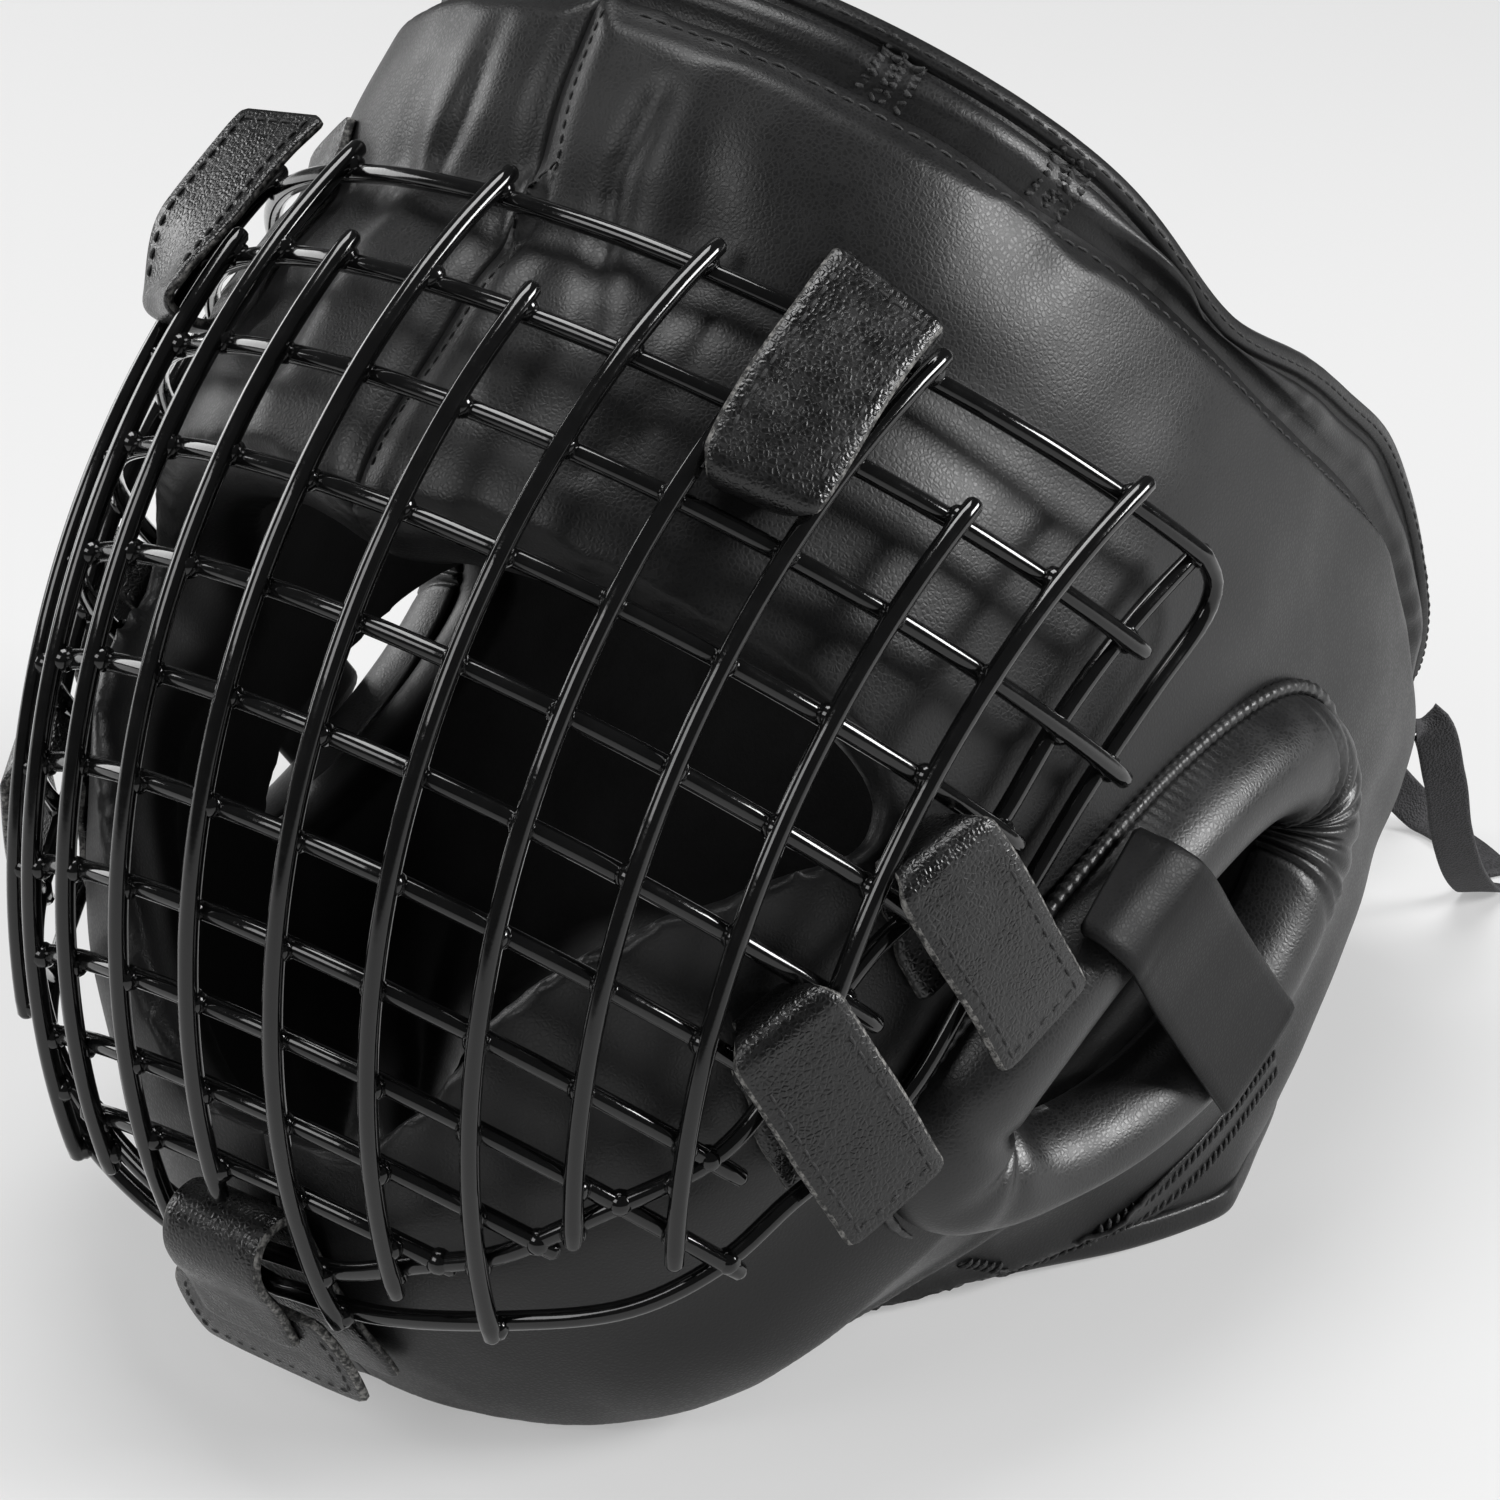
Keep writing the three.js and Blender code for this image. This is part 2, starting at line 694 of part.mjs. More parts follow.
// Strip across the ear, over both rolls
function earStrip() {
  const stations = [];
  const shear = Math.tan(EAR.tilt * DEG);
  const half = EAR.short / Math.cos(EAR.tilt * DEG);
  const rise = EAR.roll + EAR.proud - 1.5 + 1.2 + 1;
  const round = EAR.roll / Math.cos(EAR.tilt * DEG) + 1.8;
  const put = (y, x) => stations.push({ y, x });
  const frontX = sideX(EAR.y - half, EAR.z);
  const backX = sideX(EAR.y + half, EAR.z);
  for (const t of [20, 45, 70, 90])
    put(EAR.y - half - round * Math.cos(t * DEG), frontX + rise * Math.sin(t * DEG));
  put(EAR.y - half * 0.35, (frontX * 2 + backX) / 3 + rise - 0.6);
  put(EAR.y + half * 0.35, (frontX + backX * 2) / 3 + rise - 0.6);
  for (const t of [90, 87, 83])
    put(EAR.y + half + round * Math.cos(t * DEG), backX + rise * Math.sin(t * DEG));
  const width = 25;
  // it runs a little downhill towards the back
  const place = ({ y, x }, across) => {
    const w = across - STRIP_FALL * (y - EAR.y);
    return v3(x + sideX(y, EAR.z + w) - sideX(y, EAR.z), y + shear * w, EAR.z + w);
  };
  const rings = stations.map((s, i) => {
    const a = stations[Math.max(i - 1, 0)];
    const b = stations[Math.min(i + 1, stations.length - 1)];
    const n = v3(b.y - a.y, -(b.x - a.x), 0).normalize().multiplyScalar(1);
    const lift = v3(n.x, n.y, 0);
    return [
      place(s, width / 2).add(lift),
      place(s, -width / 2).add(lift),
      place(s, -width / 2).sub(lift),
      place(s, width / 2).sub(lift),
    ];
  });
  return skin(rings);
}
const earBand = earStrip().subtract(bodyClear);

// Crown straps, sewn where they cross over the open top
function crownStrap() {
  const start = v3(63, 37, 0);
  const finish = v3(-82, 204, 0);
  const along = finish.clone().sub(start);
  const wide = v3(along.y, -along.x, 0).normalize();
  const stations = [];
  const steps = 14;
  for (let i = 0; i <= steps; i += 1) {
    const t = i / steps;
    const p = start.clone().addScaledVector(along, t);
    const ground = rimHeight(30) * (1 - t) + rimHeight(206) * t;
    p.z = ground - 4 + CROWN_ARCH * Math.pow(Math.sin(Math.PI * t), 0.6);
    stations.push({ p, wide, width: CROWN });
  }
  stations.forEach((s, i) => {
    const a = stations[Math.max(i - 1, 0)].p;
    const b = stations[Math.min(i + 1, steps)].p;
    s.face = b.clone().sub(a).cross(wide);
  });
  return strip(stations, 2.4);
}
const crownRoom = skin(
  [110, 130, 150, 160, 170, 180, 220].map((z) =>
    ringOf((a, h) => {
      const n = sectionNormal(a, 150).setZ(0).normalize();
      return section(a, Math.min(h, 182)).addScaledVector(n, BAND_INSIDE - SEAM_GAP).setZ(h);
    }, z, 60),
  ),
);
const crownStraps = cleaned(crownStrap().add(turned(crownStrap())).intersect(crownRoom), 0.05);

// Back lace: crossings over the slot and two free tails lying to the left
function lace(points, widths) {
  const curve = new THREE.CatmullRomCurve3(points, false, "centripetal");
  const steps = points.length * 2;
  const stations = [];
  for (let i = 0; i <= steps; i += 1) {
    const t = i / steps;
    const p = curve.getPoint(t);
    const along = curve.getTangent(t);
    p.addScaledVector(restUp, Math.max(0, LACE_THICK - restHeight(p)));
    const k = t * (widths.length - 1);
    const j = Math.min(Math.floor(k), widths.length - 2);
    const wide = widths[j].clone().lerp(widths[j + 1], k - j);
    wide.addScaledVector(along, -wide.dot(along) / along.lengthSq());
    stations.push({ p, wide, face: along.clone().cross(wide), width: LACE });
  }
  return strip(stations, LACE_THICK);
}
const backY = (x, z) => {
  const half = lookUp(SECTIONS, z, 1);
  const far = lookUp(SECTIONS, z, 3) - SHELL_MID;
  return SHELL_MID + far * Math.pow(1 - Math.pow(Math.abs(x) / half, BACK_POWER), 1 / BACK_POWER);
};

const floorAt = (x, y, z) => restToWorn(v3(x, y, z));
const upward = v3(0, 0, 1);
// Moved forward until it touches the leather
const seated = (solid) => {
  let moved = solid;
  while (moved.intersect(bodyClear).volume() < 4) moved = moved.translate([0, -0.1, 0]);
  return moved;
};
const level = (x, y) => floorAt(x, y, 0).sub(floorAt(0, 0, 0));
const facing = level(0.79, 0.61);
const laceRung = (z) => {
  const end = backY(22, z) + 0.9;
  const rung = lace([v3(-22, end, z), v3(0, backY(0, z) + 1, z), v3(22, end, z)], [upward, upward]);
  return cleaned(seated(rung).subtract(bodyClear), 0.05);
};
const rungs = [100, 118, 136].map(laceRung);
const tailLong = lace(
  [
    v3(26, backY(26, 124) + 0.4, 124),
    v3(52, backY(52, 132) + 2.4, 132),
    floorAt(75, 318, 61),
    floorAt(78, 324, 45),
    floorAt(77, 331, 28),
    floorAt(76, 341, 12),
    floorAt(75, 351, 3),
    floorAt(74, 358, 1),
  ],
  [upward, v3(0, 0.2, 1), facing, facing, facing, facing, facing, facing],
);
const tailShort = lace(
  [
    v3(26, backY(26, 100) + 3.2, 97),
    floorAt(33, 352, 50),
    floorAt(36, 366, 20),
    floorAt(46, 376, 3),
    floorAt(59, 372, 1),
    floorAt(73, 364, 1),
  ],
  [upward, level(-0.7, 0.3), level(-0.7, -0.6), level(-0.6, -0.8), level(-0.45, -0.85), level(-0.45, -0.85)],
);

const parts = {
  shell_left: [shellLeft, 0x1a1a1b],
  shell_right: [turned(shellLeft), 0x1a1a1b],
  rim_band_left: [bandLeft, 0x202022],
  rim_band_right: [turned(bandLeft), 0x202022],
  ear_ring_left: [earRing, 0x1d1d1e],
  ear_ring_right: [turned(earRing), 0x1d1d1e],
  ear_strip_left: [earBand, 0x232325],
  ear_strip_right: [turned(earBand), 0x232325],
  chin_pad: [chinPad, 0x1b1b1c],
  grille: [grille, 0x0c0c0d],
  strap_temple_left: [strapTemple, 0x161617],
  strap_temple_right: [turned(strapTemple), 0x161617],
  strap_cheek_upper_left: [strapCheekUpper, 0x161617],
  strap_cheek_upper_right: [turned(strapCheekUpper), 0x161617],
  strap_cheek_lower_left: [strapCheekLower, 0x161617],
  strap_cheek_lower_right: [turned(strapCheekLower), 0x161617],
  strap_chin: [strapChin, 0x161617],
  crown_straps: [crownStraps, 0x1c1c1d],
  lace_upper: [rungs[2], 0x2a2a2c],
  lace_middle: [rungs[1], 0x2a2a2c],
  lace_lower: [rungs[0], 0x2a2a2c],
  lace_tail_long: [tailLong, 0x2a2a2c],
  lace_tail_short: [tailShort, 0x2a2a2c],
};

// Laid back as it rests, on the floor, centred without the loose lace ends
const group = new THREE.Group();
group.name = "sparring_headgear";
const box = new THREE.Box3();
const looseEnds = ["lace_tail_long", "lace_tail_short"];
for (const [name, [solid, colour]] of Object.entries(parts)) {
  const mesh = solid.getMesh();
  const geometry = new THREE.BufferGeometry();
  geometry.setAttribute("position", new THREE.Float32BufferAttribute(Array.from(mesh.vertProperties), 3));
  geometry.setIndex(Array.from(mesh.triVerts));
  geometry.rotateX(lean);
  geometry.computeBoundingBox();
  if (!looseEnds.includes(name)) box.union(geometry.boundingBox);
  const material = new THREE.MeshStandardMaterial({ color: colour, roughness: 0.55 });
  material.name = name;
  const piece = new THREE.Mesh(geometry, material);
  piece.name = name;
  group.add(piece);
}
const centre = box.getCenter(new THREE.Vector3());
for (const piece of group.children) {
  piece.geometry.translate(0, -centre.y, -box.min.z);
  piece.geometry.computeVertexNormals();
}

export default group;
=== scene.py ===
import math

import bmesh
import bpy
import numpy as np
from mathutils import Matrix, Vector
from mathutils.bvhtree import BVHTree


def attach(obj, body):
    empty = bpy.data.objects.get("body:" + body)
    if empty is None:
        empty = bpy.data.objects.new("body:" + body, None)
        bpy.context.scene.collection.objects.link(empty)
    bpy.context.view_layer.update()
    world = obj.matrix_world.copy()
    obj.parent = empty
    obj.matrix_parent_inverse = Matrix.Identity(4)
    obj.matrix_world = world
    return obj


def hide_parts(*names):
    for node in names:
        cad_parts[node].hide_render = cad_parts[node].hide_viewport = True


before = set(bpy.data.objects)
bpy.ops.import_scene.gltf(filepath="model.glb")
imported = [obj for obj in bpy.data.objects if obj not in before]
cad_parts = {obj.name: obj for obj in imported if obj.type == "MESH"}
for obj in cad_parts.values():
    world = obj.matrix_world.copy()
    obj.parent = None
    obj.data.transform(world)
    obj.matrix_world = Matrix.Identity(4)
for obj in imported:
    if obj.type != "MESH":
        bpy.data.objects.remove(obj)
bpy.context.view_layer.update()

# camera at the photograph's viewing angle
view = {"place": (0.56204, -0.72880, 0.55337), "turn": (63.53, 0.0, 37.52), "lens": 115.6, "sensor": 36}
cameraData = bpy.data.cameras.new("camera")
cameraData.lens = view["lens"]
cameraData.sensor_width = view["sensor"]
camera = bpy.data.objects.new("camera", cameraData)
camera.location = view["place"]
camera.rotation_euler = [math.radians(a) for a in view["turn"]]
bpy.context.collection.objects.link(camera)
bpy.context.scene.camera = camera

# the headgear is drawn upright as worn, in millimetres, and laid back on the floor
pose = {"pitch": 44.8, "drop": 167.5, "back": 155.535}
leanCos = math.cos(math.radians(pose["pitch"]))
leanSin = math.sin(math.radians(pose["pitch"]))


def laid(points):
    p = np.asarray(points, float)
    y = p[..., 1] * leanCos + p[..., 2] * leanSin - pose["back"]
    z = -p[..., 1] * leanSin + p[..., 2] * leanCos + pose["drop"]
    return np.stack([p[..., 0], y, z], -1) / 1000


def worn(points):
    p = np.asarray(points, float) * 1000
    y = p[..., 1] + pose["back"]
    z = p[..., 2] - pose["drop"]
    return np.stack([p[..., 0], y * leanCos - z * leanSin, y * leanSin + z * leanCos], -1)


def fromFloor(x, y, z):  # millimetres over the floor, before centring
    return worn(np.array([x, y - pose["back"], z]) / 1000)


def unit(v):
    return v / np.maximum(np.linalg.norm(v, axis=-1, keepdims=True), 1e-9)


def bell(x, width):
    return np.exp(-((x / width) ** 2))


def ramp(x, low, high):
    t = np.clip((x - low) / (high - low), 0, 1)
    return t * t * (3 - 2 * t)


swellWaves = {"count": 6, "sizes": (0.7, 1.5), "scale": 3.2, "turn": 6.28}


def swell(p, size, seed):  # slow unevenness, about -1 to 1
    rng = np.random.default_rng(seed)
    total = 0
    for _ in range(swellWaves["count"]):
        way = unit(rng.normal(size=3)) * 2 * math.pi / (size * rng.uniform(*swellWaves["sizes"]))
        total = total + np.sin(p @ way + rng.uniform(0, swellWaves["turn"]))
    return total / swellWaves["scale"]


hands = (("left", 1), ("right", -1))


def handed(points, flip):  # flip is -1 for the wearer's right
    return points * np.array([flip, 1, 1])


def lengths(points):  # distance along a run of points
    return np.concatenate([[0], np.cumsum(np.linalg.norm(np.diff(points, axis=0), axis=1))])


def squared(way, along):  # the part of a direction that is square to another
    return unit(way - along * np.sum(way * along, -1, keepdims=True))


def circle(a, b, sides):  # a ring of directions in the plane of two
    turns = np.arange(sides)[:, None] * 2 * math.pi / sides
    return np.cos(turns) * a + np.sin(turns) * b


def between(u, h, a, b, slopeA, slopeB):  # cubic from a to b over a step h
    near = (2 * u**3 - 3 * u**2 + 1) * a + (u**3 - 2 * u**2 + u) * h * slopeA
    far = (3 * u**2 - 2 * u**3) * b + (u**3 - u**2) * h * slopeB
    return near + far


denseSteps = {"run": 40, "table": 800}


# a smooth run through key points; further columns are carried along
def smoothRun(keys, count):
    keys = np.asarray(keys, float)
    step = np.linalg.norm(np.diff(keys[:, :3], axis=0), axis=1) ** 0.5
    knots = np.concatenate([[0], np.cumsum(step)])
    slope = np.diff(keys, axis=0) / step[:, None]
    tangent = np.empty_like(keys)
    tangent[0], tangent[-1] = slope[0], slope[-1]
    across = (keys[2:] - keys[:-2]) / (step[:-1] + step[1:])[:, None]
    tangent[1:-1] = slope[:-1] + slope[1:] - across
    t = np.linspace(0, knots[-1], denseSteps["run"] * len(keys))
    i = np.clip(np.searchsorted(knots, t, side="right") - 1, 0, len(keys) - 2)
    u = ((t - knots[i]) / step[i])[:, None]
    dense = between(u, step[i][:, None], keys[i], keys[i + 1], tangent[i], tangent[i + 1])
    far = lengths(dense[:, :3])
    at = np.linspace(0, far[-1], count)
    return np.stack([np.interp(at, far, dense[:, k]) for k in range(keys.shape[1])], 1)


def smoothTable(rows, column):  # dense copy of a smooth curve over the first column
    rows = sorted(rows)
    x = np.array([r[0] for r in rows], float)
    y = np.array([r[column] for r in rows], float)
    m = np.empty_like(y)
    m[1:-1] = (y[2:] - y[:-2]) / (x[2:] - x[:-2])
    m[0], m[-1] = (y[1] - y[0]) / (x[1] - x[0]), (y[-1] - y[-2]) / (x[-1] - x[-2])
    at = np.linspace(x[0], x[-1], denseSteps["table"])
    i = np.clip(np.searchsorted(x, at, side="right") - 1, 0, len(x) - 2)
    h = x[i + 1] - x[i]
    return at, between((at - x[i]) / h, h, y[i], y[i + 1], m[i], m[i + 1])


# shader sockets as values
class Signal:
    def __init__(self, tree, socket=None):
        self.tree, self.socket = tree, socket

    def make(self, kind, settings=None, sockets=None, out=0):
        node = self.tree.nodes.new(kind)
        for key, value in (settings or {}).items():
            setattr(node, key, value)
        for key, value in (sockets or {}).items():
            if isinstance(value, Signal):
                self.tree.links.new(value.socket, node.inputs[key])
            else:
                node.inputs[key].default_value = value
        return Signal(self.tree, node.outputs[out] if node.outputs else None)

    def maths(self, operation, *terms):
        return self.make("ShaderNodeMath", {"operation": operation}, dict(enumerate(terms)))

    def __add__(self, other):
        return self.maths("ADD", self, other)

    def __radd__(self, other):
        return self.maths("ADD", other, self)

    def __sub__(self, other):
        return self.maths("SUBTRACT", self, other)

    def __rsub__(self, other):
        return self.maths("SUBTRACT", other, self)

    def __mul__(self, other):
        return self.maths("MULTIPLY", self, other)

    def __rmul__(self, other):
        return self.maths("MULTIPLY", other, self)

    def place(self):  # millimetres on the resting object
        spot = self.make("ShaderNodeTexCoord", out=3)
        return self.make("ShaderNodeVectorMath", {"operation": "SCALE"}, {0: spot, "Scale": 1000})

    def noise(self, spot, size, detail=3.0, rough=0.55):
        return self.make("ShaderNodeTexNoise", None,
                         {"Vector": spot, "Scale": 1 / size, "Detail": detail, "Roughness": rough})

    def cells(self, spot, size, feature="DISTANCE_TO_EDGE"):
        return self.make("ShaderNodeTexVoronoi", {"feature": feature},
                         {"Vector": spot, "Scale": 1 / size})

    def soft(self, low, high):  # eased step
        return self.make("ShaderNodeMapRange", {"interpolation_type": "SMOOTHSTEP"},
                         {0: self, 1: low, 2: high, 3: 0.0, 4: 1.0})

    def tint(self, dark, light):  # colour between two greys, by this value
        return self.make("ShaderNodeMix", {"data_type": "RGBA"},
                         {0: self, 6: (*dark, 1), 7: (*light, 1)}, out=2)

    def bump(self, strength, distance):
        return self.make("ShaderNodeBump", None,
                         {"Height": self, "Strength": strength, "Distance": distance / 1000})


def newFinish(name):
    material = bpy.data.materials.new(name)
    material.use_nodes = True
    material.node_tree.nodes.clear()
    return material, Signal(material.node_tree)


def finish(name, sockets, *look):  # one surface shader, its sockets from a function
    material, s = newFinish(name)
    shader = s.make("ShaderNodeBsdfPrincipled", None, sockets(s, *look))
    s.make("ShaderNodeOutputMaterial", None, {"Surface": shader})
    return material


# leather: cells of the grain, pores, slow wear; sizes in millimetres
def leatherSockets(s, look):
    spot = s.place()
    wander = s.noise(spot, look["grain"] * look["wanderSize"], 2.0)
    cells = s.cells(spot, look["grain"]).soft(*look["cellEdge"])
    fine = s.noise(spot, look["grain"] * look["fineSize"], 2.0)
    slow = s.noise(spot, look["wear"], 4.0)
    grain = cells * look["cell"] + fine * look["fine"] + wander * look["wander"]
    shade = (slow * look["slow"] + (1 - cells) * look["pore"]).soft(*look["shade"])
    rough = slow.soft(*look["worn"]) * look["roughSpan"] + look["rough"] + (1 - cells) * look["poreRough"]
    return {
        "Base Color": shade.tint(look["dark"], look["light"]),
        "Roughness": rough,
        "Specular IOR Level": look["specular"],
        "Normal": grain.bump(look["bump"], look["depth"]),
    }


liningLook = {"nap": 0.9, "wear": 16, "even": 0.5, "shade": (0.3, 0.7), "dark": (0.0014, 0.0014, 0.0014),
              "light": (0.004, 0.004, 0.0041), "rough": 0.76, "roughSpan": 0.15, "specular": 0.06,
              "slow": 0.6, "bump": 0.35, "depth": 0.3}


def liningSockets(s):  # matt brushed lining
    look, spot = liningLook, s.place()
    nap = s.noise(spot, look["nap"], 4.0, 0.7)
    slow = s.noise(spot, look["wear"], 3.0)
    shade = (nap * look["even"] + slow * look["even"]).soft(*look["shade"])
    return {
        "Base Color": shade.tint(look["dark"], look["light"]),
        "Roughness": nap * look["roughSpan"] + look["rough"],
        "Specular IOR Level": look["specular"],
        "Normal": (nap + slow * look["slow"]).bump(look["bump"], look["depth"]),
    }


def linedFinish(name, look):  # leather outside, lining inside, by the share kept on the mesh
    material, s = newFinish(name)
    leatherSide = s.make("ShaderNodeBsdfPrincipled", None, leatherSockets(s, look))
    liningSide = s.make("ShaderNodeBsdfPrincipled", None, liningSockets(s))
    share = s.make("ShaderNodeAttribute", {"attribute_name": "lined"}, out=2)
    both = s.make("ShaderNodeMixShader", None, {0: share, 1: leatherSide, 2: liningSide})
    s.make("ShaderNodeOutputMaterial", None, {"Surface": both})
    return material


shellLook = {"grain": 1.05, "wear": 26, "cell": 0.6, "fine": 0.35, "pore": 0.12, "rough": 0.34,
             "roughSpan": 0.1, "dark": (0.006, 0.006, 0.0062), "light": (0.012, 0.012, 0.0124),
             "specular": 0.38, "bump": 0.24, "depth": 0.17, "wanderSize": 2.2, "fineSize": 0.35,
             "cellEdge": (0.0, 0.32), "wander": 0.5, "slow": 0.7, "shade": (0.25, 0.75),
             "worn": (0.3, 0.7), "poreRough": 0.08}
shellLeather = linedFinish("shell_leather", shellLook)
bindingLeather = finish("binding_leather", leatherSockets, {
    **shellLook, "rough": 0.31, "bump": 0.22, "dark": (0.007, 0.007, 0.0072),
    "light": (0.014, 0.014, 0.0145)})
# the ear roll's leather is lighter than the shell's: a painted highlight on the roll
rollLeather = finish("roll_leather", leatherSockets, {
    **shellLook, "rough": 0.31, "wear": 14, "specular": 0.55, "light": (0.02, 0.02, 0.0205)})
stripLeather = finish("strip_leather", leatherSockets, {
    **shellLook, "rough": 0.36, "wear": 18, "bump": 0.16, "specular": 0.16})
strapLeather = finish("strap_leather", leatherSockets, {
    **shellLook, "grain": 1.15, "cell": 0.8, "fine": 0.5, "pore": 0.25, "rough": 0.17,
    "roughSpan": 0.18, "wear": 9, "dark": (0.003, 0.003, 0.003), "light": (0.009, 0.009, 0.0093),
    "specular": 0.5, "bump": 0.4, "depth": 0.24})
liningCloth = finish("lining_leather", liningSockets)

gripLook = {"drips": 5.0, "peel": 0.8, "dark": (0.002, 0.002, 0.002), "light": (0.005, 0.005, 0.0052),
            "thick": (0.35, 0.7), "rough": 0.08, "roughSpan": 0.12, "specular": 0.15, "coat": 0.7,
            "coatRough": 0.05, "dripShare": 0.8, "peelShare": 0.2, "bump": 0.25, "depth": 0.5}


def gripSockets(s):  # gloss dip coat with drips
    look, spot = gripLook, s.place()
    drips = s.noise(spot, look["drips"], 3.0)
    peel = s.noise(spot, look["peel"], 1.0)
    relief = drips * look["dripShare"] + peel * look["peelShare"]
    return {
        "Base Color": drips.tint(look["dark"], look["light"]),
        "Roughness": drips.soft(*look["thick"]) * look["roughSpan"] + look["rough"],
        "Specular IOR Level": look["specular"],
        "Coat Weight": look["coat"],
        "Coat Roughness": look["coatRough"],
        "Normal": relief.bump(look["bump"], look["depth"]),
    }


grilleCoat = finish("grille_coat", gripSockets)

frayLook = {"ends": (0.4, 0.66), "rough": 0.6, "roughSpan": 0.2, "bump": 0.6, "depth": 0.4}


def fraySockets(s, dark, light, size):  # cut edges and sewing thread
    fuzz = s.noise(s.place(), size, 4.0, 0.7)
    return {
        "Base Color": fuzz.soft(*frayLook["ends"]).tint(dark, light),
        "Roughness": fuzz * frayLook["roughSpan"] + frayLook["rough"],
        "Normal": fuzz.bump(frayLook["bump"], frayLook["depth"]),
    }


cutEdge = finish("cut_edge", fraySockets, (0.008, 0.008, 0.008), (0.22, 0.215, 0.205), 1.4)
thread = finish("thread", fraySockets, (0.006, 0.006, 0.006), (0.04, 0.04, 0.041), 0.6)

laceLook = {"weave": 0.55, "wear": 6.0, "weaveShare": 0.8, "slow": 0.5, "shade": (0.3, 0.9),
            "dark": (0.012, 0.012, 0.013), "light": (0.04, 0.039, 0.042), "rough": 0.6, "roughSpan": 0.2,
            "bump": 0.7, "depth": 0.35}


def laceSockets(s):  # woven tape
    look, spot = laceLook, s.place()
    weave = s.cells(spot, look["weave"], "F1")
    slow = s.noise(spot, look["wear"], 3.0)
    shade = (weave * look["weaveShare"] + slow * look["slow"]).soft(*look["shade"])
    return {
        "Base Color": shade.tint(look["dark"], look["light"]),
        "Roughness": weave * look["roughSpan"] + look["rough"],
        "Normal": weave.bump(look["bump"], look["depth"]),
    }


laceWeave = finish("lace_fabric", laceSockets)

# a white table with a painted glow: it emits light, bright near the object and fading to dark farther off
floorLook = {"size": 12.0, "glow": 0.37, "glowFade": (900, 2200), "cloud": 900, "dark": (0.37, 0.37, 0.37),
             "light": (0.39, 0.39, 0.39), "rough": 0.55, "roughSpan": 0.1, "specular": 0.2,
             "near": (1, 1, 1), "far": (0.1, 0.1, 0.1)}


def floorSockets(s):
    look, spot = floorLook, s.place()
    cloud = s.noise(spot, look["cloud"], 2.0)
    away = s.make("ShaderNodeVectorMath", {"operation": "LENGTH"}, {0: spot}, out=1)
    return {
        "Base Color": cloud.tint(look["dark"], look["light"]),
        "Roughness": cloud * look["roughSpan"] + look["rough"],
        "Specular IOR Level": look["specular"],
        # painted glow: the floor gives off light, fading with distance from the object
        "Emission Color": away.soft(*look["glowFade"]).tint(look["near"], look["far"]),
        "Emission Strength": look["glow"],
    }


print("finishes made")


# meshes are gathered here, in metres
class Heap:
    def __init__(self):
        self.verts, self.faces, self.kinds, self.count = [], [], [], 0

    def put(self, verts, faces, kind=0):
        verts = np.asarray(verts, float).reshape(-1, 3)
        self.verts.append(verts)
        self.faces += [[i + self.count for i in face] for face in faces]
        self.kinds += [kind] * len(faces)
        self.count += len(verts)

    def loft(self, rings, closed=False, kinds=None):  # quads over rows of rings, capped
        rings = np.asarray(rings, float)
        rows, count = rings.shape[:2]
        base = self.count
        self.put(rings, [])
        for i in range(rows if closed else rows - 1):
            a, b = base + i * count, base + ((i + 1) % rows) * count
            for j in range(count):
                k = (j + 1) % count
                self.faces.append([a + j, a + k, b + k, b + j])
                self.kinds.append(kinds[j] if kinds else 0)
        if not closed:
            self.faces.append([base + j for j in range(count)][::-1])
            self.faces.append([base + (rows - 1) * count + j for j in range(count)])
            self.kinds += [kinds[-1] if kinds else 0] * 2

    def piece(self, name, finishes):
        mesh = bpy.data.meshes.new(name)
        mesh.from_pydata(np.concatenate(self.verts).tolist(), [], self.faces)
        return dress(name, mesh, finishes, self.kinds)


def dress(name, mesh, finishes, kinds=None):
    for finish in finishes:
        mesh.materials.append(finish)
    if kinds is not None:
        mesh.polygons.foreach_set("material_index", np.asarray(kinds, np.int32))
    mesh.shade_smooth()
    mesh.validate()
    obj = bpy.data.objects.new(name, mesh)
    bpy.context.collection.objects.link(obj)
    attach(obj, "root")
    return obj


def pointsOf(mesh, kind="co"):  # places, or normals
    flat = np.empty(len(mesh.vertices) * 3)
    mesh.vertices.foreach_get(kind, flat)
    return flat.reshape(-1, 3)


def setPoints(mesh, points):
    mesh.vertices.foreach_set("co", np.asarray(points, np.float64).ravel())
    mesh.update()


# a strip along a run of centre, width direction and width; columns 0-2, 3-5, 6
strapEdge = {"round": 0.45, "corner": 1.6,
             "lanes": np.array([-1, -0.95, -0.8, -0.55, -0.28, 0, 0.28, 0.55, 0.8, 0.95, 1])}


def ribbon(heap, run, thick, crown=0.25, corners=(True, True), kinds=(0, 1)):
    p, wide, width = run[:, :3], unit(run[:, 3:6]), run[:, 6].copy()
    along = unit(np.gradient(p, axis=0))
    wide = squared(wide, along)
    face = unit(np.cross(along, wide))
    far = lengths(p)
    r = strapEdge["corner"]
    for cornered, reach in zip(corners, (far, far[-1] - far)):
        if cornered:
            d = np.clip(r - reach, 0, r)
            width -= 2 * (r - np.sqrt(np.maximum(r * r - d * d, 0)))
    lanes = strapEdge["lanes"]
    swellUp = crown * (1 - lanes**4)
    top = np.where(np.abs(lanes) == 1, strapEdge["round"], 1.0) * thick / 2
    rings = []
    for i in range(len(p)):
        across = p[i] + wide[i] * (lanes * width[i] / 2)[:, None]
        lower = across - face[i] * top[:, None]
        rings.append(np.concatenate([across + face[i] * (top + swellUp)[:, None], lower[::-1]]))
    n = len(lanes)
    sides = ([kinds[0]] * (n - 1) + [kinds[1]]) * 2
    sides[0] = sides[n - 2] = kinds[1]  # worn along the edges
    heap.loft(laid(np.array(rings)), kinds=sides)
    return p, wide, face, width


